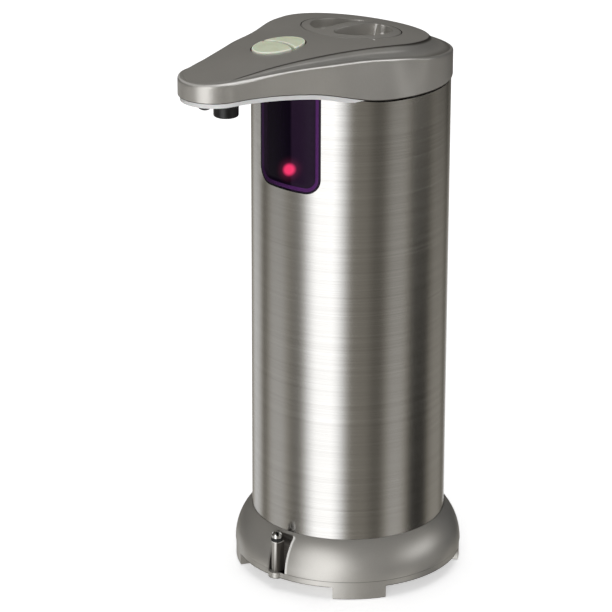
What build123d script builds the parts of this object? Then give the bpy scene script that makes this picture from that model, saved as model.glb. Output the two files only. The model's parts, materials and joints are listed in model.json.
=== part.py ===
from build123d import *
import math
import os

# Automatic soap dispenser for a worktop or washbasin: a brushed steel sleeve on a flared
# base ring with a foot plate, and a moulded head whose spout reaches forward over the hand.
# Millimetres. Z is up, the spout points along -Y, X runs across. The origin is the centre
# of the whole outline on the surface it stands on. "Forward" distances are measured from
# the axis of the steel body towards the spout's tip.

# overall
spout_reach = 78.6
base_radius = 38.8
deck_crest_z = 191.12
overrun = 3.0
seat_gap = 0.05
axis_y = (spout_reach - base_radius) / 2
flare_spread = 5.8
sleeve_radius = base_radius - flare_spread
head_depth = 17.12
head_bottom = deck_crest_z - head_depth
spout_depth = 9.12
spout_bottom = deck_crest_z - spout_depth

# foot plate: battery cover with four feet
foot_height = 4.3
plate_thickness = 2.0
plate_step = 0.2
plate_radius = base_radius - plate_step
foot_depth = 5.0
foot_half_angle = 13.6
foot_angle = 46.0
foot_edge = 0.5
lobe_inset = 1.2
lobe_forward = plate_radius - lobe_inset
lobe_radius = 2.85
ledge_width = 2.0
ring_bore = sleeve_radius - ledge_width
spigot_fit = 0.3
spigot_radius = ring_bore - spigot_fit
spigot_height = 3.6
spigot_wall = 2.4
gasket_section = 0.75
gasket_squeeze = 0.15
gasket_rise = 1.8

# base ring
ring_bottom = foot_height + plate_thickness
flare_radius = 18.6
notch_half_width = 4.0
notch_depth = 3.2
notch_back = base_radius - notch_depth
recess_depth = 5.2
notch_pocket = base_radius - recess_depth
notch_top = 19.0
post_radius = 1.8
post_inset = 1.5
post_forward = base_radius - post_inset
post_top = 16.8
ledge_height = 4.7
ledge_z = ring_bottom + ledge_height

# clamp screw at the front
screw_radius = 0.95
screw_clearance = 0.06
screw_head_radius = 1.75
screw_head_height = 1.9
screw_tip_z = 4.8
cross_width = 0.6
cross_length = 2.2
cross_depth = 0.9
grommet_radius = 2.3
grommet_thickness = 1.5

# steel sleeve and window
sleeve_wall = 0.6
sleeve_fit = 0.1
window_half_width = 12.95
window_height = 32.7
window_bottom = head_bottom - window_height
window_corner = 5.5
window_gap = 0.12
window_flange = 2.0
window_sheet = 1.1

# head: plan outline, rim, deck
head_overhang = 0.5
head_radius = sleeve_radius + head_overhang
tip_radius = 11.4
tip_forward = spout_reach - tip_radius
flank_radius = 199.0
head_wall = 2.0
deck_wall = 2.4
deck_arc = 310.0
crest_inset = 42.6
deck_crest_forward = spout_reach - crest_inset
rim_arc = 480.0
rim_crest_inset = 23.6
rim_crest_forward = spout_reach - rim_crest_inset
rim_drop = 2.62
rim_crest_z = deck_crest_z - rim_drop
cove_width = 7.8
plateau_radius = head_radius - cove_width
cove_tip_width = 0.7
plateau_tip_radius = tip_radius - cove_tip_width
sweep_start = 10.0
sweep_inset = 15.2
sweep_end = spout_reach - sweep_inset

# white cover that closes the head from below
cover_drop = 1.5
cover_inset = 0.7
cover_floor = 1.5
cover_fit = 0.1
cover_ledge = 11.5
cover_bore = head_radius - cover_ledge

# nozzle and sensor under the spout
nozzle_inset = 17.1
nozzle_forward = spout_reach - nozzle_inset
nozzle_radius = 4.05
nozzle_drop = 8.5
nozzle_tip_z = spout_bottom - nozzle_drop
nozzle_neck = 3.2
nozzle_bore = 1.2
nozzle_edge = 0.6
nozzle_rise = 3.0
sensor_inset = 7.2
sensor_forward = spout_reach - sensor_inset
sensor_radius = 2.25
sensor_stem = 1.6
sensor_board_width = 9.0
sensor_board_length = 7.0
sensor_board_rise = 2.6
sensor_board_z = spout_bottom + sensor_board_rise
board_thickness = 1.2

# touch keys
key_forward = 36.3
key_half_length = 10.8
key_half_width = 6.75
key_split_forward = 34.3
key_split_rise = 2.3
key_split_gap = 1.2
key_clearance = 0.3
key_proud = 0.45
key_flange = 0.9
key_flange_thickness = 0.8
key_flange_drop = 4.22
key_flange_z = deck_crest_z - key_flange_drop
key_rear_switch = 29.6
key_front_switch = 41.0
plunger_radius = 1.6
plunger_length = 1.6
plunger_fit = 0.05
switch_size = 6.0
switch_height = 1.8
key_board_start = 25.6
key_board_end = 45.0
key_board_half_width = 6.4
key_board_drop = 3.9
key_board_z = key_flange_z - key_board_drop
key_board_post = 1.2
key_board_post_x = 4.6

# filler cap and the neck it closes
cap_margin = 9.25
cap_radius = plateau_radius - cap_margin
cap_gap = 0.15
cap_tilt = math.degrees(math.asin(deck_crest_forward / deck_arc))
cap_rim = 1.5
cap_lip = 1.8
cap_cup_radius = cap_radius - cap_lip
cap_floor = 1.3
pocket_wall = 1.1
pocket_radius = cap_cup_radius - pocket_wall
pocket_depth = 4.8
grip_half_width = 1.9
fin_width = 0.7
fin_rise = 0.8
fin_back = 10.4
seal_thickness = 0.9
neck_inset = 0.1
neck_radius = cap_radius - neck_inset
neck_wall = 1.5
neck_bore = neck_radius - neck_wall
neck_length = 24.0

# tank
tank_gap = 2.6
tank_radius = sleeve_radius - tank_gap
tank_wall = 1.5
tank_floor = 1.8
tank_flat_inset = 9.9
tank_flat = tank_radius - tank_flat_inset
tank_top_drop = 9.0
tank_top = head_bottom - tank_top_drop
tank_gasket_thickness = 1.0
lid_thickness = 2.0
lid_post_radius = 2.5
lid_post_inset = 4.9
lid_post_place = tank_radius - lid_post_inset
tank_edge = 4.0
outlet_side = 4.6
outlet_radius = 3.0
outlet_bore = 2.0
outlet_drop = 2.3

# chassis with battery bays, motor bay and gear deck
chassis_fit = 0.1
chassis_flange = 1.6
chassis_wall = 1.6
chassis_radius = tank_radius
cell_radius = 5.25
cell_length = 43.3
cell_nub_radius = 1.9
cell_nub_height = 1.0
cell_inset = 8.4
cell_place = chassis_radius - cell_inset
cell_clearance = 0.25
bay_wall = 1.4
bay_top_gap = 1.2
deck_rise = 51.7
deck_z = ring_bottom + deck_rise
tank_rise = 16.0
tank_bottom = deck_z + tank_rise
gear_deck = 2.2
rib_thickness = 1.6
contact_thickness = 0.3
contact_half_width = 2.5
contact_reach = 3.6
cell_rise = 4.2

# drive: motor, reduction gears and gear pump
motor_radius = 10.0
motor_flat = 7.6
motor_length = 25.0
motor_boss_radius = 3.0
motor_boss_height = 1.6
motor_fit = 0.1
motor_shaft_radius = 1.0
shaft_fit = 0.04
pinion_teeth = 10
reduction_teeth = 36
gear_module = 0.5
gear_backlash = 0.12
pinion_face = 3.4
reduction_face = 2.6
gear_lift = 0.6
pump_teeth = 12
pump_module = 1.0
pump_backlash = 0.24
pump_face = 4.6
pump_shaft_radius = 1.5
pump_tip_gap = 0.06
pump_side_gap = 0.06
pump_wall = 1.9
pump_floor = 1.4
pump_cover_thickness = 1.5
pump_stand = 5.0
pump_lug_radius = 2.2
pump_lug_forward = 0.0
pump_lug_reach = 12.4
pump_boss_radius = 2.6
pump_boss_x = 11.0
pump_boss_length = 19.0
hub_height = 1.2
pump_screw_radius = 0.9
pump_screw_head = 1.8
pump_screw_head_height = 1.2

# outlet tube
tube_radius = 2.0
tube_bore = 1.2
tube_grip = 2.0
tube_inset = 7.4
tube_rise_forward = sleeve_radius - tube_inset
tube_low_bend = 6.0
tube_top_drop = 6.72
tube_top_z = deck_crest_z - tube_top_drop
tube_turn_share = 0.5125
tube_turn_forward = tube_rise_forward + tube_turn_share * (nozzle_forward - tube_rise_forward)
tube_spout_rise = 3.6
tube_spout_z = spout_bottom + tube_spout_rise
tube_high_bend = 5.0
tube_side_bend = 11.0
tube_end_bend = 2.2

# control board and lamp
board_inset = 9.4
control_forward = sleeve_radius - board_inset
control_start_x = -7.0
control_end_x = 16.0
control_rise = 6.0
control_bottom = tank_bottom + control_rise
control_drop = 5.0
control_top = tank_top - control_drop
chip_size = 7.0
chip_height = 1.3
capacitor_radius = 2.5
capacitor_length = 4.0
lamp_rise = 6.9
lamp_z = window_bottom + lamp_rise
lamp_radius = 1.5
lamp_flange = 1.9
lamp_flange_height = 1.0
lamp_inset = 2.4
lamp_forward = sleeve_radius - lamp_inset
lamp_dome_share = 0.9
board_boss_radius = 1.5
board_boss_x = 12.0

# fastening of the head
head_boss_radius = 2.6
head_boss_inset = 8.5
head_boss_place = head_radius - head_boss_inset
head_screw_radius = 1.1
head_screw_head = 2.2
head_screw_head_height = 1.5
head_screw_length = 6.0

os.makedirs("parts", exist_ok=True)

# derived heights
deck_centre = (0, axis_y - deck_crest_forward, deck_crest_z - deck_arc)
cap_level_z = deck_centre[2] + math.sqrt(deck_arc ** 2 - deck_crest_forward ** 2)
lid_z = tank_top + tank_gasket_thickness
lid_top = lid_z + lid_thickness
cell_bottom = ring_bottom + cell_rise
bay_top = cell_bottom + cell_length + cell_nub_height + bay_top_gap
gear_z = deck_z + gear_deck + gear_lift
pump_z = deck_z + gear_deck + pump_stand
chamber_z = pump_z + pump_floor
pump_top = chamber_z + pump_face + 2 * pump_side_gap
pump_lid_top = pump_top + pump_cover_thickness
motor_top = deck_z - seat_gap
gear_distance = gear_module * (pinion_teeth + reduction_teeth) / 2
pump_distance = pump_module * pump_teeth
drive_back = gear_distance
idler_back = gear_distance - pump_distance
chamber_radius = pump_module * (pump_teeth / 2 + 1) + pump_tip_gap
pump_radius = chamber_radius + pump_wall
mesh_back = (drive_back + idler_back) / 2
wide = 4 * head_radius


def level(z):
    return Plane(origin=(0, axis_y, z))


def front(forward):
    return Plane(origin=(0, axis_y - forward, 0), x_dir=(1, 0, 0), z_dir=(0, -1, 0))


def tilted(depth):
    lean = math.radians(cap_tilt)
    return Plane(
        origin=(0, axis_y - depth * math.sin(lean), cap_level_z - depth * math.cos(lean)),
        x_dir=(1, 0, 0),
        z_dir=(0, math.sin(lean), math.cos(lean)))


def rim_bottom(forward):
    run = sweep_end - sweep_start
    rise = spout_bottom - head_bottom
    radius = (run ** 2 + rise ** 2) / (4 * rise)
    if forward <= sweep_start:
        return head_bottom
    if forward >= sweep_end:
        return spout_bottom
    if forward < (sweep_start + sweep_end) / 2:
        return head_bottom + radius - math.sqrt(radius ** 2 - (forward - sweep_start) ** 2)
    return spout_bottom - radius + math.sqrt(radius ** 2 - (sweep_end - forward) ** 2)


# plan outline of the head, drawn inside a sketch: back circle, two concave flanks, round tip
def head_outline(inset):
    big = head_radius - inset
    tip = tip_radius - inset
    flank = flank_radius + inset
    first = big + flank
    second = tip + flank
    along = (first ** 2 - second ** 2 + tip_forward ** 2) / (2 * tip_forward)
    across = math.sqrt(first ** 2 - along ** 2)
    at_big = math.atan2(across, along)
    at_tip = math.atan2(across, along - tip_forward)
    join_big = (big * math.sin(at_big), -big * math.cos(at_big))
    join_tip = (tip * math.sin(at_tip), -tip_forward - tip * math.cos(at_tip))
    middle = (at_big + at_tip) / 2
    flank_mid = (across - flank * math.sin(middle), -along + flank * math.cos(middle))
    with BuildSketch() as shape:
        with BuildLine():
            ThreePointArc(join_big, (0, big), (-join_big[0], join_big[1]))
            ThreePointArc((-join_big[0], join_big[1]), (-flank_mid[0], flank_mid[1]),
                          (-join_tip[0], join_tip[1]))
            ThreePointArc((-join_tip[0], join_tip[1]), (0, -tip_forward - tip), join_tip)
            ThreePointArc(join_tip, flank_mid, join_big)
        make_face()
    return shape.sketch


# plan outline of the raised deck: two circles and their straight tangents
def plateau_outline(inset):
    big = plateau_radius - inset
    tip = plateau_tip_radius - inset
    angle = math.acos((big - tip) / tip_forward)
    join_big = (big * math.sin(angle), -big * math.cos(angle))
    join_tip = (tip * math.sin(angle), -tip_forward - tip * math.cos(angle))
    with BuildSketch() as shape:
        with BuildLine():
            ThreePointArc(join_big, (0, big), (-join_big[0], join_big[1]))
            Line((-join_big[0], join_big[1]), (-join_tip[0], join_tip[1]))
            ThreePointArc((-join_tip[0], join_tip[1]), (0, -tip_forward - tip), join_tip)
            Line(join_tip, join_big)
        make_face()
    return shape.sketch


# side profile between the head's swept underside and an arched top, drawn on the YZ plane
def side_profile(top_arc, crest_forward, crest_z, lower, under):
    back = axis_y + head_radius + overrun
    tip = axis_y - spout_reach - overrun
    crest = axis_y - crest_forward
    radius = top_arc - lower
    peak = crest_z - lower

    def arch(y):
        return peak - radius + math.sqrt(radius ** 2 - (y - crest) ** 2)

    start = axis_y - sweep_start
    end = axis_y - sweep_end
    middle = (start + end) / 2
    low = head_bottom - under
    high = spout_bottom - under
    with BuildSketch() as shape:
        with BuildLine():
            Line((back, low), (start, low))
            TangentArc((start, low), (middle, (low + high) / 2), tangent=(-1, 0))
            TangentArc((end, high), (middle, (low + high) / 2), tangent=(1, 0))
            Line((end, high), (tip, high))
            Line((tip, high), (tip, arch(tip)))
            ThreePointArc((tip, arch(tip)), (crest, peak), (back, arch(back)))
            Line((back, arch(back)), (back, low))
        make_face()
    return shape.sketch


# involute gear outline with its first tooth towards the angle turn
def gear_outline(module, teeth, backlash, turn):
    pitch = module * teeth / 2
    base = pitch * math.cos(math.radians(20))
    tip = pitch + module * 0.95
    root = pitch - module * 1.2

    def half_angle(radius):
        def involute(r):
            angle = math.acos(min(1.0, base / r))
            return math.tan(angle) - angle
        half = math.pi / (2 * teeth) - backlash / (2 * pitch)
        return half + involute(pitch) - involute(max(radius, base))

    low = max(base, root)
    radii = [root, low, (low + tip) / 2, tip]
    corners = []
    for tooth in range(teeth):
        centre = turn + 2 * math.pi * tooth / teeth
        for radius in radii:
            angle = centre - half_angle(radius)
            corners.append((radius * math.cos(angle), radius * math.sin(angle)))
        for radius in reversed(radii):
            angle = centre + half_angle(radius)
            corners.append((radius * math.cos(angle), radius * math.sin(angle)))
    with BuildSketch() as shape:
        with BuildLine():
            Polyline(*corners, close=True)
        make_face()
    return shape.sketch


def quarter_places(radius, start):
    places = []
    for step in range(4):
        angle = math.radians(start + 90 * step)
        places.append((radius * math.sin(angle), -radius * math.cos(angle)))
    return places


# foot plate
with BuildPart() as base_plate:
    with BuildSketch(level(foot_height)):
        Circle(plate_radius)
        with Locations((0, -lobe_forward)):
            Circle(lobe_radius)
    extrude(amount=plate_thickness)
    with BuildSketch(level(ring_bottom)):
        Circle(spigot_radius)
        Circle(spigot_radius - spigot_wall, mode=Mode.SUBTRACT)
    extrude(amount=spigot_height)
    with BuildSketch(Plane(origin=(0, axis_y, 0), x_dir=(1, 0, 0), z_dir=(0, -1, 0))):
        with Locations((spigot_radius, ring_bottom + gasket_rise)):
            Rectangle(2 * (2 * gasket_section - gasket_squeeze + seat_gap),
                      2 * gasket_section + 2 * seat_gap)
    revolve(axis=Axis((0, axis_y, 0), (0, 0, 1)), mode=Mode.SUBTRACT)
    for side in (foot_angle, 180 - foot_angle, 180 + foot_angle, 360 - foot_angle):
        middle_angle = math.radians(side)
        reach = (plate_radius + overrun) / math.cos(math.radians(foot_half_angle))
        corners = [(0, 0)]
        for edge in (-foot_half_angle, foot_half_angle):
            angle = middle_angle + math.radians(edge)
            corners.append((reach * math.sin(angle), -reach * math.cos(angle)))
        with BuildSketch(level(0)):
            with BuildLine():
                Polyline(*corners, close=True)
            make_face()
            Circle(plate_radius, mode=Mode.INTERSECT)
            Circle(plate_radius - foot_depth, mode=Mode.SUBTRACT)
        extrude(amount=foot_height)
    soles = base_plate.edges().group_by(Axis.Z)[0]
    fillet(soles, radius=foot_edge)
    with BuildSketch(level(foot_height)):
        with Locations((0, -post_forward)):
            Circle(screw_radius + screw_clearance)
    extrude(amount=plate_thickness, mode=Mode.SUBTRACT)
base_plate.part.label = "base_plate"
export_step(base_plate.part, "parts/base_plate.step")

gasket_radius = spigot_radius - gasket_section + gasket_squeeze
with BuildPart() as base_gasket:
    with BuildSketch(Plane(origin=(0, axis_y, 0), x_dir=(1, 0, 0), z_dir=(0, -1, 0))):
        with Locations((gasket_radius, ring_bottom + gasket_rise)):
            Circle(gasket_section)
    revolve(axis=Axis((0, axis_y, 0), (0, 0, 1)))
base_gasket.part.label = "base_gasket"
export_step(base_gasket.part, "parts/base_gasket.step")

# two bent leaf contacts on the plate, each bridging a pair of cells
leaf_low = ring_bottom + seat_gap
leaf_high = cell_bottom - seat_gap
leaf_x = cell_place * math.sin(math.radians(45))
with BuildPart() as cover_contacts:
    for side in (-1, 1):
        with BuildSketch(Plane(origin=(side * leaf_x, axis_y, 0), x_dir=(0, 1, 0), z_dir=(1, 0, 0))):
            with Locations((0, leaf_low + contact_thickness / 2)):
                Rectangle(2 * (leaf_x + contact_reach), contact_thickness)
            for end in (-leaf_x, leaf_x):
                with BuildLine():
                    Polyline((end - contact_reach, leaf_low),
                             (end - contact_reach / 2, leaf_high),
                             (end + contact_reach / 2, leaf_high),
                             (end + contact_reach, leaf_low),
                             close=True)
                make_face()
            for end in (-leaf_x, leaf_x):
                inside = contact_reach - 2 * contact_thickness
                with BuildLine():
                    Polyline((end - inside, leaf_low + contact_thickness),
                             (end - inside / 2, leaf_high - contact_thickness),
                             (end + inside / 2, leaf_high - contact_thickness),
                             (end + inside, leaf_low + contact_thickness),
                             close=True)
                make_face(mode=Mode.SUBTRACT)
        extrude(amount=contact_half_width, both=True)
cover_contacts.part.label = "cover_contacts"
export_step(cover_contacts.part, "parts/cover_contacts.step")

# base ring: one arc from the foot plate up to the steel
flare_centre = base_radius - flare_radius
flare_turn = math.acos((sleeve_radius + sleeve_fit - flare_centre) / flare_radius)
flare_top = ring_bottom + flare_radius * math.sin(flare_turn)
with BuildPart() as base_ring:
    with BuildSketch(Plane(origin=(0, axis_y, 0), x_dir=(1, 0, 0), z_dir=(0, -1, 0))):
        with BuildLine():
            ring_start = (base_radius, ring_bottom)
            ring_mid = (flare_centre + flare_radius * math.cos(flare_turn / 2),
                        ring_bottom + flare_radius * math.sin(flare_turn / 2))
            ring_end = (sleeve_radius + sleeve_fit, flare_top)
            ThreePointArc(ring_start, ring_mid, ring_end)
            Polyline(ring_end, (sleeve_radius + sleeve_fit, ledge_z), (ring_bore, ledge_z),
                     (ring_bore, ring_bottom), ring_start)
        make_face()
    revolve(axis=Axis((0, axis_y, 0), (0, 0, 1)))
    # front notch with its screw post, and the pocket under the screw's head
    with BuildSketch(level(ring_bottom)):
        with Locations((0, -(notch_back + base_radius) / 2 - overrun / 2)):
            Rectangle(2 * notch_half_width, base_radius - notch_back + overrun)
    extrude(amount=post_top - ring_bottom, mode=Mode.SUBTRACT)
    with BuildSketch(level(post_top)):
        with Locations((0, -(notch_pocket + base_radius) / 2 - overrun / 2)):
            Rectangle(2 * notch_half_width, base_radius - notch_pocket + overrun)
    extrude(amount=notch_top - post_top, mode=Mode.SUBTRACT)
    with BuildSketch(level(ring_bottom)):
        with Locations((0, -post_forward)):
            Circle(post_radius)
        with Locations((0, -(post_forward + notch_pocket) / 2)):
            Rectangle(2 * post_radius, post_forward - notch_pocket)
    extrude(amount=post_top - ring_bottom)
    with BuildSketch(level(ring_bottom)):
        with Locations((0, -post_forward)):
            Circle(screw_radius + screw_clearance)
    extrude(amount=flare_top, mode=Mode.SUBTRACT)
base_ring.part.label = "base_ring"
export_step(base_ring.part, "parts/base_ring.step")

with BuildPart() as screw_grommet:
    with BuildSketch(level(post_top)):
        with Locations((0, -post_forward)):
            Circle(grommet_radius)
            Circle(screw_radius + screw_clearance, mode=Mode.SUBTRACT)
    extrude(amount=grommet_thickness)
    fillet(screw_grommet.edges().filter_by(GeomType.CIRCLE).sort_by(SortBy.RADIUS)[-2:],
           radius=grommet_thickness / 3)
screw_grommet.part.label = "screw_grommet"
export_step(screw_grommet.part, "parts/screw_grommet.step")

head_z = post_top + grommet_thickness
with BuildPart() as base_screw:
    with BuildSketch(level(screw_tip_z)):
        with Locations((0, -post_forward)):
            Circle(screw_radius)
    extrude(amount=head_z - screw_tip_z)
    with BuildSketch(level(head_z)):
        with Locations((0, -post_forward)):
            Circle(screw_head_radius)
    extrude(amount=screw_head_height)
    fillet(base_screw.edges().group_by(Axis.Z)[-1], radius=screw_head_height / 2)
    with BuildSketch(level(head_z + screw_head_height)):
        with Locations((0, -post_forward)):
            Rectangle(cross_length, cross_width)
            Rectangle(cross_width, cross_length)
    extrude(amount=-cross_depth, mode=Mode.SUBTRACT)
base_screw.part.label = "base_screw"
export_step(base_screw.part, "parts/base_screw.step")

# body above the head's swept underside, used to trim the sleeve and the window
with BuildPart() as head_space:
    with BuildSketch(Plane.YZ):
        add(side_profile(rim_arc, rim_crest_forward, deck_crest_z + 4 * overrun, 0, cover_drop))
    extrude(amount=wide, both=True)
    with BuildSketch(level(head_bottom - cover_drop - overrun)):
        Rectangle(wide, 3 * wide)
    extrude(amount=cover_drop + overrun, mode=Mode.SUBTRACT)


def window_outline(grow):
    half = window_half_width + grow
    low = window_bottom - grow
    high = deck_crest_z
    with Locations((0, (low + high) / 2)):
        Rectangle(2 * half, high - low)


with BuildPart() as steel_sleeve:
    with BuildSketch(level(ledge_z)):
        Circle(sleeve_radius)
        Circle(sleeve_radius - sleeve_wall, mode=Mode.SUBTRACT)
    extrude(amount=spout_bottom - ledge_z)
    add(head_space.part, mode=Mode.SUBTRACT)
    with BuildSketch(front(sleeve_radius / 2)) as window_cut:
        window_outline(0)
        low_corners = window_cut.vertices().group_by(Axis.Z)[0]
        fillet(low_corners, radius=window_corner)
    extrude(amount=sleeve_radius, mode=Mode.SUBTRACT)
steel_sleeve.part.label = "steel_sleeve"
export_step(steel_sleeve.part, "parts/steel_sleeve.step")

pane_inner = sleeve_radius - sleeve_wall - seat_gap
with BuildPart() as window_panel:
    with BuildSketch(level(window_bottom - window_flange)):
        Circle(pane_inner)
        Circle(pane_inner - window_sheet, mode=Mode.SUBTRACT)
    extrude(amount=spout_bottom - window_bottom + window_flange)
    with BuildSketch(front(sleeve_radius / 2)) as flange_shape:
        window_outline(window_flange)
        flange_corners = flange_shape.vertices().group_by(Axis.Z)[0]
        fillet(flange_corners, radius=window_corner + window_flange)
    extrude(amount=sleeve_radius, mode=Mode.INTERSECT)
    add(head_space.part, mode=Mode.SUBTRACT)
with BuildPart() as window_face:
    with BuildSketch(level(window_bottom - window_flange)):
        Circle(sleeve_radius)
        Circle(pane_inner - window_sheet / 2, mode=Mode.SUBTRACT)
    extrude(amount=spout_bottom - window_bottom + window_flange)
    with BuildSketch(front(sleeve_radius / 2)) as face_shape:
        window_outline(-window_gap)
        face_corners = face_shape.vertices().group_by(Axis.Z)[0]
        fillet(face_corners, radius=window_corner - window_gap)
    extrude(amount=sleeve_radius, mode=Mode.INTERSECT)
    add(head_space.part, mode=Mode.SUBTRACT)
    add(window_panel.part)
window_face.part.label = "window_panel"
export_step(window_face.part, "parts/window_panel.step")

# head shell: swept outline, arched rim, raised arched deck, hollow inside
with BuildPart() as head_void:
    with BuildSketch(level(head_bottom - overrun)):
        add(head_outline(head_wall))
    extrude(amount=deck_crest_z - head_bottom + 2 * overrun)
    with BuildSketch(Plane.YZ):
        add(side_profile(rim_arc, rim_crest_forward, rim_crest_z, head_wall, overrun))
    extrude(amount=wide, both=True, mode=Mode.INTERSECT)


# keeps what lies under the deck, one large arc from front to back and straight across
def under_deck(depth):
    with Locations(deck_centre):
        Cylinder(deck_arc - depth, 2 * wide, rotation=(0, 90, 0), mode=Mode.INTERSECT)


with BuildPart() as deck_void:
    with BuildSketch(level(head_bottom - overrun)):
        add(plateau_outline(head_wall))
    extrude(amount=deck_crest_z - head_bottom + 2 * overrun)
    under_deck(deck_wall)
with BuildPart() as head_deck:
    with BuildSketch(level(head_bottom - overrun)):
        add(plateau_outline(0))
    extrude(amount=deck_crest_z - head_bottom + 2 * overrun)
    with BuildSketch(Plane.YZ):
        add(side_profile(rim_arc, rim_crest_forward, deck_crest_z + 2 * overrun, 0, 0))
    extrude(amount=wide, both=True, mode=Mode.INTERSECT)
    under_deck(0)

boss_places = quarter_places(head_boss_place, 45)


def key_outline(grow):
    with Locations((0, -key_forward)):
        Ellipse(key_half_width + grow, key_half_length + grow)


with BuildPart() as head_shell:
    with BuildSketch(level(head_bottom - overrun)):
        add(head_outline(0))
    extrude(amount=deck_crest_z - head_bottom + 2 * overrun)
    with BuildSketch(Plane.YZ):
        add(side_profile(rim_arc, rim_crest_forward, rim_crest_z, 0, 0))
    extrude(amount=wide, both=True, mode=Mode.INTERSECT)
    add(head_deck.part)
    add(head_void.part, mode=Mode.SUBTRACT)
    add(deck_void.part, mode=Mode.SUBTRACT)
    # screw bosses down from the deck
    for place in boss_places:
        boss_foot = rim_bottom(head_boss_radius - place[1]) + cover_floor + seat_gap
        with BuildSketch(level(boss_foot)):
            with Locations(place):
                Circle(head_boss_radius)
                Circle(head_screw_radius, mode=Mode.SUBTRACT)
        extrude(until=Until.NEXT)
    with BuildSketch(tilted(-overrun)):
        Circle(cap_radius + cap_gap)
    extrude(amount=-(overrun + deck_wall + overrun), mode=Mode.SUBTRACT)
    with BuildSketch(level(deck_crest_z + overrun)):
        key_outline(key_clearance)
    extrude(amount=-(2 * overrun + deck_wall), mode=Mode.SUBTRACT)
head_shell.part.label = "head_shell"
export_step(head_shell.part, "parts/head_shell.step")

# white cover: a plate under the rim and a floor inside it
board_post_places = []
for forward in (key_board_start + key_board_post, key_board_end - key_board_post):
    for side in (-1, 1):
        board_post_places.append((side * key_board_post_x, -forward))
with BuildPart() as cover_edge:
    with BuildSketch(level(head_bottom - overrun)):
        add(head_outline(cover_inset))
    extrude(amount=deck_crest_z - head_bottom)
    with BuildSketch(Plane.YZ):
        add(side_profile(rim_arc, rim_crest_forward, deck_crest_z, 0, cover_drop))
    extrude(amount=wide, both=True, mode=Mode.INTERSECT)
    with BuildSketch(Plane.YZ):
        add(side_profile(rim_arc, rim_crest_forward, deck_crest_z + overrun, 0, 0))
    extrude(amount=wide, both=True, mode=Mode.SUBTRACT)
with BuildPart() as under_cover:
    with BuildSketch(level(head_bottom - overrun)):
        add(head_outline(head_wall + cover_fit))
    extrude(amount=deck_crest_z - head_bottom)
    with BuildSketch(Plane.YZ):
        add(side_profile(rim_arc, rim_crest_forward, deck_crest_z, 0, cover_drop))
    extrude(amount=wide, both=True, mode=Mode.INTERSECT)
    with BuildSketch(Plane.YZ):
        add(side_profile(rim_arc, rim_crest_forward, deck_crest_z + overrun, 0, -cover_floor))
    extrude(amount=wide, both=True, mode=Mode.SUBTRACT)
    add(cover_edge.part)
    with BuildSketch(level(head_bottom - 2 * overrun)):
        Rectangle(wide, 3 * wide)
    extrude(amount=2 * overrun, mode=Mode.SUBTRACT)
    # posts that carry the key board, and the bores
    for place in board_post_places:
        with BuildSketch(level(key_board_z)):
            with Locations(place):
                Circle(key_board_post)
        extrude(until=Until.NEXT, dir=(0, 0, -1))
    with BuildSketch(level(head_bottom - overrun)):
        with Locations((0, 0)):
            Circle(cover_bore)
        with Locations((-pump_boss_x, -tube_rise_forward)):
            Circle(tube_radius + key_clearance)
        with Locations((0, -nozzle_forward)):
            Circle(nozzle_neck + seat_gap)
        with Locations((0, -sensor_forward)):
            Circle(sensor_stem + seat_gap)
        with Locations(*boss_places):
            Circle(head_screw_radius + cover_fit)
    extrude(amount=key_board_z - head_bottom + 2 * overrun, mode=Mode.SUBTRACT)
under_cover.part.label = "under_cover"
export_step(under_cover.part, "parts/under_cover.step")

with BuildPart() as head_screws:
    for place in boss_places:
        with BuildSketch(level(head_bottom - seat_gap)):
            with Locations(place):
                Circle(head_screw_head)
        extrude(amount=-head_screw_head_height)
        with BuildSketch(level(head_bottom - seat_gap)):
            with Locations(place):
                Circle(head_screw_radius - seat_gap)
        extrude(amount=head_screw_length)
head_screws.part.label = "head_screws"
export_step(head_screws.part, "parts/head_screws.step")

# nozzle, sensor lens and its board
nozzle_seat_z = rim_bottom(nozzle_forward - nozzle_radius) - cover_drop
spout_floor = spout_bottom + cover_floor
with BuildPart() as nozzle:
    with BuildSketch(level(nozzle_tip_z)):
        with Locations((0, -nozzle_forward)):
            Circle(nozzle_radius)
    extrude(amount=nozzle_seat_z - seat_gap - nozzle_tip_z)
    fillet(nozzle.edges().group_by(Axis.Z)[0], radius=nozzle_edge)
    with BuildSketch(level(nozzle_tip_z + nozzle_edge)):
        with Locations((0, -nozzle_forward)):
            Circle(nozzle_neck)
    extrude(amount=spout_floor - nozzle_tip_z - nozzle_edge)
    with BuildSketch(level(spout_floor)):
        with Locations((0, -nozzle_forward)):
            Circle(tube_radius + seat_gap)
    extrude(amount=-nozzle_rise, mode=Mode.SUBTRACT)
    with BuildSketch(level(nozzle_tip_z)):
        with Locations((0, -nozzle_forward)):
            Circle(nozzle_bore)
    extrude(amount=nozzle_seat_z, mode=Mode.SUBTRACT)
nozzle.part.label = "nozzle"
export_step(nozzle.part, "parts/nozzle.step")

sensor_seat_z = spout_bottom - cover_drop - seat_gap
with BuildPart() as sensor_lens:
    with BuildSketch(Plane(origin=(0, axis_y - sensor_forward, 0), x_dir=(1, 0, 0), z_dir=(0, -1, 0))):
        with BuildLine():
            Line((0, sensor_board_z), (sensor_stem, sensor_board_z))
            Line((sensor_stem, sensor_board_z), (sensor_stem, sensor_seat_z))
            Line((sensor_stem, sensor_seat_z), (sensor_radius, sensor_seat_z))
            RadiusArc((sensor_radius, sensor_seat_z), (0, sensor_seat_z - sensor_radius), sensor_radius)
            Line((0, sensor_seat_z - sensor_radius), (0, sensor_board_z))
        make_face()
    revolve(axis=Axis((0, axis_y - sensor_forward, 0), (0, 0, 1)))
sensor_lens.part.label = "sensor_lens"
export_step(sensor_lens.part, "parts/sensor_lens.step")

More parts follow.
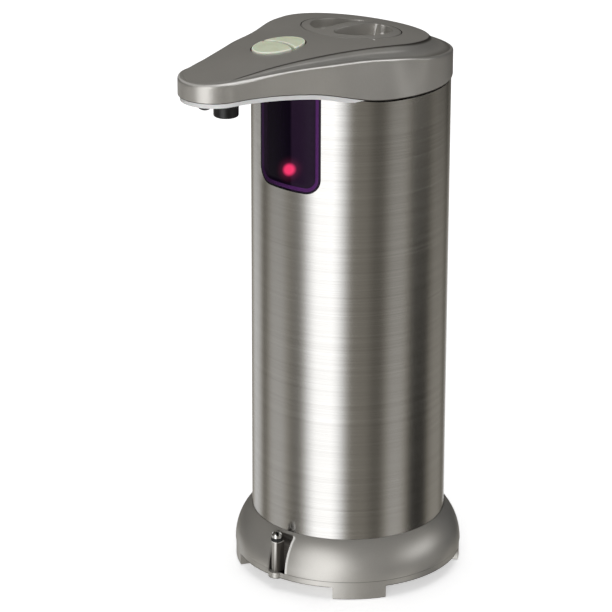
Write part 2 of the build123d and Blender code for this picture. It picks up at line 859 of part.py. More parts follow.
with BuildPart() as sensor_board:
    with BuildSketch(level(sensor_board_z)):
        with Locations((0, -sensor_forward)):
            Rectangle(sensor_board_width, sensor_board_length)
    extrude(amount=board_thickness)
sensor_board.part.label = "sensor_board"
export_step(sensor_board.part, "parts/sensor_board.step")

# two soft keys that share one oval, split by an arched gap
split_radius = (key_half_width ** 2 + key_split_rise ** 2) / (2 * key_split_rise)
split_centre = key_split_forward + split_radius


def key_half(front_half, grow):
    key_outline(grow)
    if front_half:
        with Locations((0, -split_centre)):
            Circle(split_radius - key_split_gap / 2, mode=Mode.INTERSECT)
    else:
        with Locations((0, -split_centre)):
            Circle(split_radius + key_split_gap / 2, mode=Mode.SUBTRACT)


with BuildPart() as key_minus:
    with BuildSketch(level(key_flange_z)):
        key_half(True, 0)
    extrude(amount=deck_crest_z - key_flange_z + overrun)
    under_deck(-key_proud)
    with BuildSketch(level(key_flange_z)):
        key_half(True, key_flange)
    extrude(amount=key_flange_thickness)
key_minus.part.label = "key_minus"
export_step(key_minus.part, "parts/key_minus.step")

with BuildPart() as key_plus:
    with BuildSketch(level(key_flange_z)):
        key_half(False, 0)
    extrude(amount=deck_crest_z - key_flange_z + overrun)
    under_deck(-key_proud)
    with BuildSketch(level(key_flange_z)):
        key_half(False, key_flange)
    extrude(amount=key_flange_thickness)
key_plus.part.label = "key_plus"
export_step(key_plus.part, "parts/key_plus.step")

switch_z = key_board_z + board_thickness
switch_places = [(0, -key_rear_switch), (0, -key_front_switch)]
with BuildPart() as key_board:
    with BuildSketch(level(key_board_z)):
        with Locations((0, -(key_board_start + key_board_end) / 2)):
            Rectangle(2 * key_board_half_width, key_board_end - key_board_start)
    extrude(amount=board_thickness)
    with BuildSketch(level(switch_z)):
        with Locations(*switch_places):
            Rectangle(switch_size, switch_size)
    extrude(amount=switch_height)
    with BuildSketch(level(switch_z + switch_height)):
        with Locations(*switch_places):
            Circle(plunger_radius + plunger_fit)
    extrude(amount=-switch_height, mode=Mode.SUBTRACT)
key_board.part.label = "key_board"
export_step(key_board.part, "parts/key_board.step")

plunger_top = key_flange_z
for label, forward in (("plunger_plus", key_rear_switch), ("plunger_minus", key_front_switch)):
    with BuildPart() as plunger:
        with BuildSketch(level(plunger_top)):
            with Locations((0, -forward)):
                Circle(plunger_radius)
        extrude(amount=-plunger_length)
    plunger.part.label = label
    export_step(plunger.part, "parts/" + label + ".step")

# filler cap with two half-moon grip pockets and a bar between them
with BuildPart() as filler_cap:
    with BuildSketch(tilted(cap_rim)):
        Circle(cap_radius)
    extrude(amount=cap_rim + overrun)
    under_deck(0)
    with BuildSketch(tilted(cap_rim)):
        Circle(cap_cup_radius)
    extrude(amount=-(pocket_depth + cap_floor - cap_rim))
    with BuildSketch(tilted(-overrun)):
        Circle(pocket_radius)
        Rectangle(2 * grip_half_width, 2 * pocket_radius + overrun, mode=Mode.SUBTRACT)
    extrude(amount=-pocket_depth - overrun, mode=Mode.SUBTRACT)
    with BuildSketch(tilted(seat_gap)):
        with Locations((grip_half_width + fin_rise / 2, fin_back)):
            Rectangle(fin_rise + seat_gap, fin_width)
    extrude(amount=-pocket_depth)
filler_cap.part.label = "filler_cap"
export_step(filler_cap.part, "parts/filler_cap.step")

with BuildPart() as cap_seal:
    with BuildSketch(tilted(cap_rim + seat_gap)):
        Circle(cap_radius - cap_gap)
        Circle(cap_cup_radius + cap_gap, mode=Mode.SUBTRACT)
    extrude(amount=-seal_thickness)
cap_seal.part.label = "cap_seal"
export_step(cap_seal.part, "parts/cap_seal.step")

# tank: round with a flat front that leaves room for the board and the tube
with BuildSketch() as tank_shape:
    Circle(tank_radius)
    with Locations((0, -tank_flat - tank_radius)):
        Rectangle(3 * tank_radius, 2 * tank_radius, mode=Mode.SUBTRACT)
    fillet(tank_shape.vertices(), radius=tank_edge)
with BuildSketch() as tank_hollow:
    add(tank_shape.sketch)
    offset(amount=-tank_wall, kind=Kind.INTERSECTION, mode=Mode.REPLACE)
with BuildSketch() as lid_shape:
    add(tank_shape.sketch)
    offset(amount=-tank_wall - cover_fit, kind=Kind.INTERSECTION, mode=Mode.REPLACE)

with BuildPart() as soap_tank:
    with BuildSketch(level(tank_bottom)):
        add(tank_shape.sketch)
    extrude(amount=tank_top - tank_bottom)
    with BuildSketch(level(tank_bottom + tank_floor)):
        add(tank_hollow.sketch)
    extrude(amount=tank_top - tank_bottom, mode=Mode.SUBTRACT)
    with BuildSketch(level(tank_bottom - outlet_drop)):
        with Locations((outlet_side, mesh_back)):
            Circle(outlet_radius)
    extrude(amount=outlet_drop + tank_floor / 2)
    with BuildSketch(level(tank_bottom - outlet_drop)):
        with Locations((outlet_side, mesh_back)):
            Circle(outlet_bore)
    extrude(amount=outlet_drop + tank_floor, mode=Mode.SUBTRACT)
    # bosses that carry the control board
    with BuildSketch(front(tank_flat)):
        with Locations((board_boss_x, control_bottom + tank_edge), (board_boss_x, control_top - tank_edge)):
            Circle(board_boss_radius)
    extrude(amount=control_forward - seat_gap - tank_flat)
soap_tank.part.label = "soap_tank"
export_step(soap_tank.part, "parts/soap_tank.step")

with BuildPart() as tank_gasket:
    with BuildSketch(level(tank_top)):
        add(tank_shape.sketch)
        add(tank_hollow.sketch, mode=Mode.SUBTRACT)
    extrude(amount=tank_gasket_thickness)
tank_gasket.part.label = "tank_gasket"
export_step(tank_gasket.part, "parts/tank_gasket.step")

# lid with the tilted filler neck that reaches up to the cap
neck_top = cap_rim + seal_thickness + 2 * seat_gap
lid_posts = [(lid_post_place, 0), (-lid_post_place, 0), (0, lid_post_place)]
with BuildPart() as tank_lid:
    with BuildSketch(tilted(neck_top)):
        Circle(neck_radius)
    extrude(amount=-neck_length)
    with BuildSketch(level(lid_z)):
        Circle(2 * tank_radius)
    extrude(amount=-neck_length, mode=Mode.SUBTRACT)
    with BuildSketch(level(lid_z)):
        add(tank_shape.sketch)
    extrude(amount=lid_thickness)
    with BuildSketch(level(lid_z)):
        add(lid_shape.sketch)
    extrude(amount=-tank_gasket_thickness - lid_thickness)
    with BuildSketch(level(lid_top)):
        with Locations(*lid_posts):
            Circle(lid_post_radius)
    extrude(amount=head_bottom - seat_gap - lid_top)
    with BuildSketch(tilted(neck_top)):
        Circle(neck_bore)
    extrude(amount=-2 * neck_length, mode=Mode.SUBTRACT)
tank_lid.part.label = "tank_lid"
export_step(tank_lid.part, "parts/tank_lid.step")

# chassis: battery tubes, motor tube, gear deck and the skirt that the tank stands on
cell_places = quarter_places(cell_place, 45)
bay_radius = cell_radius + cell_clearance
motor_tube = motor_radius + motor_fit
pump_lugs = [(pump_lug_reach, -pump_lug_forward), (pump_lug_reach, drive_back),
             (-chamber_radius / 2, idler_back - pump_lug_reach)]
with BuildPart() as chassis:
    with BuildSketch(level(ledge_z)):
        Circle(sleeve_radius - sleeve_wall - chassis_fit)
        Circle(ring_bore - overrun, mode=Mode.SUBTRACT)
    extrude(amount=chassis_flange)
    with BuildSketch(level(ledge_z)):
        Circle(chassis_radius)
        Circle(chassis_radius - chassis_wall, mode=Mode.SUBTRACT)
    extrude(amount=deck_z - ledge_z)
    with BuildSketch(level(ledge_z)):
        with Locations(*cell_places):
            Circle(bay_radius + bay_wall)
        Circle(motor_tube + bay_wall)
        for turn in (0, 90):
            with Locations(Location((0, 0, 0), (0, 0, turn))):
                Rectangle(2 * chassis_radius - chassis_wall, rib_thickness)
    extrude(amount=deck_z - ledge_z)
    with BuildSketch(level(deck_z)):
        Circle(chassis_radius)
    extrude(amount=gear_deck)
    with BuildSketch(level(deck_z + gear_deck)):
        add(tank_shape.sketch)
        add(tank_hollow.sketch, mode=Mode.SUBTRACT)
    extrude(amount=tank_bottom - seat_gap - deck_z - gear_deck)
    with BuildSketch(level(deck_z + gear_deck)):
        with Locations(*pump_lugs):
            Circle(pump_lug_radius)
    extrude(amount=pump_stand - seat_gap)
    with BuildSketch(level(ledge_z)):
        with Locations(*cell_places):
            Circle(bay_radius)
    extrude(amount=bay_top - ledge_z, mode=Mode.SUBTRACT)
    with BuildSketch(level(ledge_z)):
        Circle(motor_tube)
    extrude(amount=deck_z - ledge_z, mode=Mode.SUBTRACT)
    with BuildSketch(level(deck_z)):
        Circle(motor_boss_radius + motor_fit)
        with Locations((0, drive_back)):
            Circle(pump_shaft_radius + shaft_fit)
        with Locations(*pump_lugs):
            Circle(pump_screw_radius)
    extrude(amount=gear_deck + pump_stand, mode=Mode.SUBTRACT)
    with BuildSketch(front(0)):
        with Locations((-pump_boss_x, pump_z + pump_boss_radius)):
            Circle(tube_radius + key_clearance)
    extrude(amount=chassis_radius, mode=Mode.SUBTRACT)
chassis.part.label = "chassis"
export_step(chassis.part, "parts/chassis.step")

with BuildPart() as batteries:
    for place in cell_places:
        with BuildSketch(level(cell_bottom)):
            with Locations(place):
                Circle(cell_radius)
        extrude(amount=cell_length)
        with BuildSketch(level(cell_bottom + cell_length)):
            with Locations(place):
                Circle(cell_nub_radius)
        extrude(amount=cell_nub_height)
batteries.part.label = "batteries"
export_step(batteries.part, "parts/batteries.step")

cell_top = cell_bottom + cell_length + cell_nub_height
with BuildPart() as bay_contacts:
    for place in cell_places:
        with BuildSketch(level(cell_top + seat_gap)):
            with Locations(place):
                Circle(contact_half_width)
        extrude(amount=bay_top - cell_top - 2 * seat_gap)
bay_contacts.part.label = "bay_contacts"
export_step(bay_contacts.part, "parts/bay_contacts.step")

# motor, its shaft and pinion
with BuildPart() as motor:
    with BuildSketch(level(motor_top - motor_length)):
        Circle(motor_radius)
        Rectangle(2 * motor_flat, 2 * motor_radius, mode=Mode.INTERSECT)
    extrude(amount=motor_length)
    with BuildSketch(level(motor_top)):
        Circle(motor_boss_radius)
    extrude(amount=motor_boss_height)
    with BuildSketch(level(motor_top - motor_length / 2)):
        Circle(motor_shaft_radius + shaft_fit)
    extrude(amount=motor_length, mode=Mode.SUBTRACT)
motor.part.label = "motor"
export_step(motor.part, "parts/motor.step")

with BuildPart() as motor_shaft:
    with BuildSketch(level(motor_top - motor_length / 2 + seat_gap)):
        Circle(motor_shaft_radius)
    extrude(amount=gear_z + pinion_face - motor_top + motor_length / 2 - seat_gap)
motor_shaft.part.label = "motor_shaft"
export_step(motor_shaft.part, "parts/motor_shaft.step")


# a gear face with its bore, drawn flat and placed later
def gear_face(module, teeth, backlash, turn, bore):
    with BuildSketch() as shape:
        add(gear_outline(module, teeth, backlash, turn))
        Circle(bore, mode=Mode.SUBTRACT)
    return shape.sketch


facing = math.pi / 2
with BuildPart() as motor_pinion:
    with BuildSketch(level(gear_z)):
        add(gear_face(gear_module, pinion_teeth, gear_backlash, facing + math.pi / pinion_teeth,
                      motor_shaft_radius))
    extrude(amount=pinion_face)
motor_pinion.part.label = "motor_pinion"
export_step(motor_pinion.part, "parts/motor_pinion.step")

# reduction gear and pump gear on one steel shaft
with BuildPart() as reduction_gear:
    with BuildSketch(level(gear_z)):
        with Locations((0, drive_back)):
            add(gear_face(gear_module, reduction_teeth, gear_backlash, -facing, pump_shaft_radius))
    extrude(amount=reduction_face)
    with BuildSketch(level(gear_z + reduction_face)):
        with Locations((0, drive_back)):
            Circle(2 * pump_shaft_radius)
            Circle(pump_shaft_radius, mode=Mode.SUBTRACT)
    extrude(amount=hub_height)
reduction_gear.part.label = "reduction_gear"
export_step(reduction_gear.part, "parts/reduction_gear.step")

with BuildPart() as drive_shaft:
    with BuildSketch(level(deck_z + seat_gap)):
        with Locations((0, drive_back)):
            Circle(pump_shaft_radius)
    extrude(amount=pump_top - deck_z - 2 * seat_gap)
drive_shaft.part.label = "drive_shaft"
export_step(drive_shaft.part, "parts/drive_shaft.step")

with BuildPart() as pump_gear_driven:
    with BuildSketch(level(chamber_z + pump_side_gap)):
        with Locations((0, drive_back)):
            add(gear_face(pump_module, pump_teeth, pump_backlash, -facing, pump_shaft_radius))
    extrude(amount=pump_face)
pump_gear_driven.part.label = "pump_gear_drive"
export_step(pump_gear_driven.part, "parts/pump_gear_drive.step")

with BuildPart() as pump_gear_idler:
    with BuildSketch(level(chamber_z + pump_side_gap)):
        with Locations((0, idler_back)):
            add(gear_face(pump_module, pump_teeth, pump_backlash, facing + math.pi / pump_teeth,
                          pump_shaft_radius + shaft_fit))
    extrude(amount=pump_face)
pump_gear_idler.part.label = "pump_gear_idler"
export_step(pump_gear_idler.part, "parts/pump_gear_idler.step")

# pump body: two meeting chambers, inlet and outlet ports, outlet boss, three lugs
with BuildPart() as pump_body:
    for lug in pump_lugs:
        with BuildSketch(level(pump_z)) as lug_shape:
            with Locations(lug):
                Circle(pump_lug_radius)
            with Locations((0, max(idler_back, min(drive_back, lug[1])))):
                Circle(pump_lug_radius)
            make_hull(lug_shape.edges())
        extrude(amount=pump_floor)
    with BuildSketch(level(pump_z)) as pump_outline:
        with Locations((0, idler_back), (0, drive_back)):
            Circle(pump_radius)
        make_hull(pump_outline.edges())
    extrude(amount=pump_top - pump_z)
    with BuildSketch(Plane(origin=(0, axis_y + mesh_back, 0), x_dir=(1, 0, 0), z_dir=(0, -1, 0))):
        with Locations((-pump_boss_x, pump_z + pump_boss_radius)):
            Circle(pump_boss_radius)
        with Locations((-(pump_boss_x + chamber_radius) / 2, pump_z + pump_boss_radius)):
            Rectangle(pump_boss_x - chamber_radius, 2 * pump_boss_radius)
    extrude(amount=pump_boss_length)
    with BuildSketch(level(chamber_z)):
        with Locations((0, idler_back), (0, drive_back)):
            Circle(chamber_radius)
        with Locations((outlet_side, mesh_back), (-outlet_side, mesh_back)):
            Circle(outlet_bore)
    extrude(amount=pump_top, mode=Mode.SUBTRACT)
    with BuildSketch(level(pump_z)):
        with Locations((0, drive_back)):
            Circle(pump_shaft_radius + shaft_fit)
        with Locations(*pump_lugs):
            Circle(pump_screw_radius + seat_gap)
    extrude(amount=pump_floor, mode=Mode.SUBTRACT)
    with BuildSketch(Plane(origin=(0, axis_y + mesh_back, 0), x_dir=(1, 0, 0), z_dir=(0, -1, 0))):
        with Locations((-pump_boss_x, pump_z + pump_boss_radius)):
            Circle(tube_bore)
    extrude(amount=pump_boss_length, mode=Mode.SUBTRACT)
    with BuildSketch(Plane(origin=(0, axis_y + mesh_back - pump_boss_length, 0), x_dir=(1, 0, 0),
                           z_dir=(0, -1, 0))):
        with Locations((-pump_boss_x, pump_z + pump_boss_radius)):
            Circle(tube_radius + seat_gap)
    extrude(amount=-tube_grip, mode=Mode.SUBTRACT)
    with BuildSketch(Plane(origin=(-outlet_side, axis_y, 0), x_dir=(0, 1, 0), z_dir=(-1, 0, 0))):
        with Locations((mesh_back - tube_bore, pump_z + pump_boss_radius)):
            Circle(tube_bore)
    extrude(amount=pump_boss_x - outlet_side, mode=Mode.SUBTRACT)
    with BuildSketch(level(chamber_z)):
        with Locations((0, idler_back)):
            Circle(pump_shaft_radius)
    extrude(amount=pump_face)
pump_body.part.label = "pump_body"
export_step(pump_body.part, "parts/pump_body.step")

with BuildPart() as pump_cover:
    with BuildSketch(level(pump_top)) as cover_outline:
        with Locations((0, idler_back), (0, drive_back)):
            Circle(pump_radius)
        make_hull(cover_outline.edges())
        with Locations((outlet_side, mesh_back)):
            Circle(outlet_radius + seat_gap, mode=Mode.SUBTRACT)
    extrude(amount=pump_cover_thickness)
pump_cover.part.label = "pump_cover"
export_step(pump_cover.part, "parts/pump_cover.step")

with BuildPart() as pump_screws:
    for lug in pump_lugs:
        with BuildSketch(level(chamber_z)):
            with Locations(lug):
                Circle(pump_screw_head)
        extrude(amount=pump_screw_head_height)
        with BuildSketch(level(deck_z + seat_gap)):
            with Locations(lug):
                Circle(pump_screw_radius - seat_gap)
        extrude(amount=chamber_z - deck_z)
pump_screws.part.label = "pump_screws"
export_step(pump_screws.part, "parts/pump_screws.step")

# outlet tube: out of the pump, up the front, along the spout and down into the nozzle
tube_z = pump_z + pump_boss_radius
tube_start = pump_boss_length - mesh_back - tube_grip
tube_points = [
    (-pump_boss_x, axis_y - tube_start - seat_gap, tube_z),
    (-pump_boss_x, axis_y - tube_rise_forward, tube_z),
    (-pump_boss_x, axis_y - tube_rise_forward, tube_top_z),
    (-pump_boss_x, axis_y - tube_turn_forward, tube_top_z),
    (0, axis_y - nozzle_forward, tube_spout_z),
    (0, axis_y - nozzle_forward, spout_floor - nozzle_rise + seat_gap),
]
tube_bends = [tube_low_bend, tube_high_bend, tube_side_bend, tube_end_bend]
with BuildPart() as outlet_tube:
    with BuildLine() as tube_path:
        FilletPolyline(*tube_points, radius=tube_bends)
    with BuildSketch(Plane(origin=tube_points[0], x_dir=(1, 0, 0), z_dir=(0, -1, 0))):
        Circle(tube_radius)
        Circle(tube_bore, mode=Mode.SUBTRACT)
    sweep(path=tube_path.wires()[0])
outlet_tube.part.label = "outlet_tube"
export_step(outlet_tube.part, "parts/outlet_tube.step")

# control board behind the window, with its chip, capacitors and the lamp
board_back = control_forward
board_front = control_forward + board_thickness
with BuildPart() as control_board:
    with BuildSketch(front(board_back)):
        with Locations(((control_start_x + control_end_x) / 2, (control_bottom + control_top) / 2)):
            Rectangle(control_end_x - control_start_x, control_top - control_bottom)
    extrude(amount=board_thickness)
    with BuildSketch(front(board_front)):
        with Locations(((control_start_x + control_end_x) / 2, (control_bottom + control_top) / 2)):
            Rectangle(chip_size, chip_size)
    extrude(amount=chip_height)
    with BuildSketch(front(board_front)):
        with Locations((chip_size, control_bottom + 2 * capacitor_length)):
            Circle(capacitor_radius)
    extrude(amount=capacitor_length)
control_board.part.label = "control_board"
export_step(control_board.part, "parts/control_board.step")

with BuildPart() as indicator_lamp:
    with BuildSketch(front(board_front + seat_gap)):
        with Locations((0, lamp_z)):
            Circle(lamp_flange)
    extrude(amount=lamp_flange_height)
    with BuildSketch(front(board_front + seat_gap)):
        with Locations((0, lamp_z)):
            Circle(lamp_radius)
    extrude(amount=lamp_forward - board_front - seat_gap)
    fillet(indicator_lamp.edges().group_by(Axis.Y)[0], radius=lamp_radius * lamp_dome_share)
indicator_lamp.part.label = "indicator_lamp"
export_step(indicator_lamp.part, "parts/indicator_lamp.step")
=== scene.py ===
import json
import math

import bmesh
import bpy
import numpy as np
from mathutils import Matrix, Vector
from mathutils.geometry import delaunay_2d_cdt


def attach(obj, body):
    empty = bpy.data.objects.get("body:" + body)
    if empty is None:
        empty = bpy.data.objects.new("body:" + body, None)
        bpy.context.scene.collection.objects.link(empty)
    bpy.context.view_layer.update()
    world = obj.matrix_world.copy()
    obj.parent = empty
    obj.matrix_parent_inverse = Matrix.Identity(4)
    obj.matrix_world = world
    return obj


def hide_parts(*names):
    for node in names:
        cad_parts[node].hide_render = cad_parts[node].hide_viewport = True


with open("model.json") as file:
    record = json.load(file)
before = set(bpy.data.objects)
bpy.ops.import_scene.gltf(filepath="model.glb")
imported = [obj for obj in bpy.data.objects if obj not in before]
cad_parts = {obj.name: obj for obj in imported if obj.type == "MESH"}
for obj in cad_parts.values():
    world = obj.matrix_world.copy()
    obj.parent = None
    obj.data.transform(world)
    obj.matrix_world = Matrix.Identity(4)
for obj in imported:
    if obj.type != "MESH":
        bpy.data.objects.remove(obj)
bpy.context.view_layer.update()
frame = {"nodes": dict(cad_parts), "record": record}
print("frame loaded:", len(frame["nodes"]), "nodes")

# Shapes are worked out in millimetres as (x, forward, z): forward runs from the axis of
# the steel body towards the spout's tip. toRow turns them into the frame's metres.
bodyAxisY = 19.9


def toRow(points):
    # x stays, y is the axis less the forward distance, millimetres become metres
    points = np.asarray(points, dtype=float)
    turned = np.stack([points[..., 0], bodyAxisY - points[..., 1], points[..., 2]], axis=-1)
    return turned * 0.001


# materials: arithmetic on a socket adds nodes


class Wire:
    # a socket of a material; each operator adds the Math node of its name
    def __init__(self, recipe, socket):
        self.recipe = recipe
        self.socket = socket

    def maths(self, operation, *values):
        return self.recipe.add("ShaderNodeMath", {"operation": operation}, dict(enumerate(values)))

    def __add__(self, other):
        return self.maths("ADD", self, other)

    __radd__ = __add__

    def __sub__(self, other):
        return self.maths("SUBTRACT", self, other)

    def __rsub__(self, other):
        return self.maths("SUBTRACT", other, self)

    def __mul__(self, other):
        return self.maths("MULTIPLY", self, other)

    __rmul__ = __mul__

    def __pow__(self, other):
        return self.maths("POWER", self, other)

    def smooth(self, low, high):
        # eases from 0 at low to 1 at high
        return self.recipe.add("ShaderNodeMapRange", {"interpolation_type": "SMOOTHSTEP"},
                               {0: self, 1: low, 2: high, 3: 0.0, 4: 1.0})

    def beside(self, output):
        # another output of the same node
        return Wire(self.recipe, self.socket.node.outputs[output])


class Recipe:
    # a node tree with one way to add a node: type, settings first, then socket values or links
    def __init__(self, tree):
        self.tree = tree
        tree.nodes.clear()

    def add(self, kind, settings=None, inputs=None, output=0):
        node = self.tree.nodes.new(kind)
        for key, value in (settings or {}).items():
            setattr(node, key, value)
        for key, value in (inputs or {}).items():
            if isinstance(value, Wire):
                self.tree.links.new(value.socket, node.inputs[key])
            else:
                node.inputs[key].default_value = value
        return Wire(self, node.outputs[output]) if node.outputs else None

    def place(self):
        # a point's place in the piece's own axes, in metres
        return self.add("ShaderNodeTexCoord", output=3)

    def painted(self, name):
        # the number that a piece carries at its corners under this name
        return self.add("ShaderNodeAttribute", {"attribute_name": name}, output=2)

    def noise(self, scale, detail=3.0, roughness=0.55):
        # soft noise whose grain measures 1 / scale along each axis
        place = self.add("ShaderNodeMapping", {}, {"Vector": self.place(), "Scale": scale})
        return self.add("ShaderNodeTexNoise", {}, {"Vector": place, "Scale": 1.0,
                                                   "Detail": detail, "Roughness": roughness})

    def blend(self, share, first, second):
        # first where the share is 0, second where it is 1
        return self.add("ShaderNodeMix", {"data_type": "RGBA"}, {0: share, 6: first, 7: second},
                        output=2)

    def bump(self, height, strength, distance):
        # leans the normal by the slope of height, which is distance metres deep
        return self.add("ShaderNodeBump", {}, {"Height": height, "Strength": strength,
                                               "Distance": distance})

    def finish(self, **sockets):
        # one Principled shader; an underscore in a name stands for a space in the socket's name
        names = {key.replace("_", " "): value for key, value in sockets.items()}
        shader = self.add("ShaderNodeBsdfPrincipled", {}, names)
        self.add("ShaderNodeOutputMaterial", {}, {"Surface": shader})


def newMaterial(name):
    # a material and the recipe that fills its empty tree
    material = bpy.data.materials.new(name)
    material.use_nodes = True
    return material, Recipe(material.node_tree)


def rgb(*channels):
    # a colour with full opacity
    return (*channels, 1.0)


# a blend over a noise runs between these two values, where most of the noise lies
noiseLow, noiseHigh = 0.3, 0.7
# painted tones from minus this share to minus the next turn a surface dark, as painted shade in
# seams and recesses
paintedShadeStart, paintedShadeFull = 0.1, 0.9


steelLook = {
    "light": rgb(0.71, 0.705, 0.69), "dark": rgb(0.58, 0.57, 0.555),
    "darkBelow": 0.32, "lightAbove": 0.68,
    "roughness": 0.16, "spread": 0.12, "anisotropy": 0.7, "anisotropyTurn": 0.25,
    "lineScale": (14, 14, 5200), "lineShare": 0.7, "patchScale": (9, 9, 420), "patchShare": 0.3,
    "bumpStrength": 0.10, "bumpDepth": 0.00002,
}


def brushedSteel():
    # long fine lines and broader patches, added by their shares, choose between two close tones
    # and raise the roughness; the lines alone make the bump
    material, mix = newMaterial("brushedSteel")
    look = steelLook
    lines = mix.noise(look["lineScale"], detail=4.0, roughness=0.7)
    patches = mix.noise(look["patchScale"])
    grain = lines * look["lineShare"] + patches * look["patchShare"]
    mix.finish(
        Base_Color=mix.blend(grain.smooth(look["darkBelow"], look["lightAbove"]),
                             look["dark"], look["light"]),
        Metallic=1.0,
        Roughness=grain * look["spread"] + look["roughness"],
        Anisotropic=look["anisotropy"],
        Anisotropic_Rotation=look["anisotropyTurn"],
        Normal=mix.bump(lines, look["bumpStrength"], look["bumpDepth"]))
    return material


paintLook = {
    "light": rgb(0.60, 0.585, 0.555), "dark": rgb(0.53, 0.515, 0.485),
    # the pale colour is a painted highlight on edges, the dark one painted shade in seams;
    # edgeDull makes the paint less metallic under the painted highlight
    "paintedHighlight": rgb(0.97, 0.955, 0.92), "seam": rgb(0.10, 0.09, 0.08),
    "metallic": 0.72, "edgeDull": 0.7, "roughness": 0.30, "spread": 0.09,
    "flakeScale": (5200, 5200, 5200), "flakeShare": 0.6,
    "cloudScale": (60, 60, 60), "cloudShare": 0.4,
    # the clouds shift a painted edge highlight by this much, less their mean
    "highlightUneven": 0.3, "highlightMean": 0.15, "highlightStart": 0.2,
    "bumpStrength": 0.12, "bumpDepth": 0.00002,
}


def nickelPaint():
    # fine flakes and broad clouds, added by their shares, choose between two close tones; over
    # them lies the tone painted on the mesh: 1 for a painted highlight on edges, -1 for painted
    # shade
    material, mix = newMaterial("satinNickelPaint")
    look = paintLook
    flakes = mix.noise(look["flakeScale"], detail=2.0)
    clouds = mix.noise(look["cloudScale"], detail=4.0)
    speckle = flakes * look["flakeShare"] + clouds * look["cloudShare"]
    colour = mix.blend(speckle.smooth(noiseLow, noiseHigh), look["dark"], look["light"])
    tone = mix.painted("tone")
    # painted highlight where the tone is high, then painted shade where it is low
    edgeHighlight = (tone + clouds * look["highlightUneven"] - look["highlightMean"]).smooth(look["highlightStart"], 1.0)
    colour = mix.blend(edgeHighlight, colour, look["paintedHighlight"])
    colour = mix.blend((tone * -1.0).smooth(paintedShadeStart, paintedShadeFull), colour, look["seam"])
    mix.finish(
        Base_Color=colour,
        Metallic=(1.0 - edgeHighlight * look["edgeDull"]) * look["metallic"],
        Roughness=clouds * look["spread"] + look["roughness"],
        Normal=mix.bump(flakes, look["bumpStrength"], look["bumpDepth"]))
    return material


plasticLook = {
    "cloudScale": (90, 90, 90), "cloudShare": 0.7, "skinShare": 0.3, "spread": 0.12,
    "softReach": 0.002, "bumpStrength": 0.12, "bumpDepth": 0.00002,
}


def mouldedPlastic(name, colour, shade, roughness, grain=2600, soft=0.0):
    # clouds and a fine moulded grain, added by their shares, choose between two close tones; the
    # clouds make the gloss slightly uneven
    material, mix = newMaterial(name)
    look = plasticLook
    skin = mix.noise((grain, grain, grain), detail=2.0)
    clouds = mix.noise(look["cloudScale"])
    tone = clouds * look["cloudShare"] + skin * look["skinShare"]
    darker = rgb(*[channel * shade for channel in colour])
    mix.finish(
        Base_Color=mix.blend(tone.smooth(noiseLow, noiseHigh), darker, rgb(*colour)),
        Roughness=clouds * look["spread"] + roughness,
        Subsurface_Weight=soft,
        Subsurface_Scale=look["softReach"],
        Normal=mix.bump(skin, look["bumpStrength"], look["bumpDepth"]))
    return material


paneLook = {
    # the pane's own dark colour, and the paler colour of its painted reflections
    "deep": rgb(0.003, 0.001, 0.006), "clear": rgb(0.017, 0.008, 0.022),
    "clearBase": 0.8, "clearUneven": 0.4,
    # the bevel band, a painted highlight, turns from dim to bright between two places across the
    # pane, in metres
    "bandDim": rgb(0.026, 0.010, 0.036), "bandBright": rgb(0.078, 0.021, 0.112),
    "dimAt": -0.013, "brightAt": 0.011, "bandUneven": 0.002,
    # painted reflections make the pane paler beyond these two places across it, in metres
    "reflectionLeft": -0.0088, "reflectionRight": 0.0022, "reflectionSoft": 0.0006, "leftShare": 0.6,
    # the lamp's light painted on the pane as glow: where it lies, how it leans and is squashed,
    # its core and its halo
    "lampX": 0.0014, "lampZ": 0.1485, "lampSlant": 0.25, "squashX": 0.85, "squashZ": 1.3,
    "core": rgb(0.95, 0.040, 0.150), "coreRadius": 0.0021, "coreSoft": 0.0009,
    "halo": rgb(0.14, 0.012, 0.040), "haloRadius": 0.0068,
    "cloudScale": (130, 130, 40), "roughness": 0.07, "spread": 0.03, "ior": 1.49, "specular": 0.07,
}


def violetPane():
    # dark violet plastic with its bevel band and its sides painted paler, as highlight and
    # reflections;
    # the lit lamp's light is painted on as a red glow, which falls off with the root of the
    # squared distances across and up from the lamp's image
    material, mix = newMaterial("violetPane")
    look = paneLook
    across = mix.add("ShaderNodeSeparateXYZ", {}, {0: mix.place()})
    aside = across - look["lampX"]
    height = across.beside(2) - look["lampZ"] - aside * look["lampSlant"]
    away = (aside * aside * look["squashX"] + height * height * look["squashZ"]) ** 0.5
    core = 1.0 - away.smooth(look["coreRadius"] - look["coreSoft"],
                             look["coreRadius"] + look["coreSoft"])
    halo = (1.0 - away.smooth(0.0, look["haloRadius"])) ** 2.0
    band = mix.painted("band")
    cloud = mix.noise(look["cloudScale"], detail=2.0)
    # painted reflections: paler beyond the right place, and partly beyond the left one
    soft, left, right = look["reflectionSoft"], look["reflectionLeft"], look["reflectionRight"]
    paintedReflection = (across.smooth(right - soft, right + soft)
                  + (1.0 - across.smooth(left - 2 * soft, left + 2 * soft)) * look["leftShare"])
    deep = mix.blend(paintedReflection * (cloud * look["clearUneven"] + look["clearBase"]),
                     look["deep"], look["clear"])
    # the bevel band's painted highlight grows brighter to the right
    turning = (across + cloud * look["bandUneven"]).smooth(look["dimAt"], look["brightAt"])
    edging = mix.blend(turning, look["bandDim"], look["bandBright"])
    glow = mix.blend(core, mix.blend(halo, rgb(0, 0, 0), look["halo"]), look["core"])
    mix.finish(
        Base_Color=mix.blend(band, deep, edging),
        Roughness=cloud * look["spread"] + look["roughness"],
        IOR=look["ior"],
        Specular_IOR_Level=look["specular"],
        Emission_Color=glow,
        Emission_Strength=1.0)
    return material


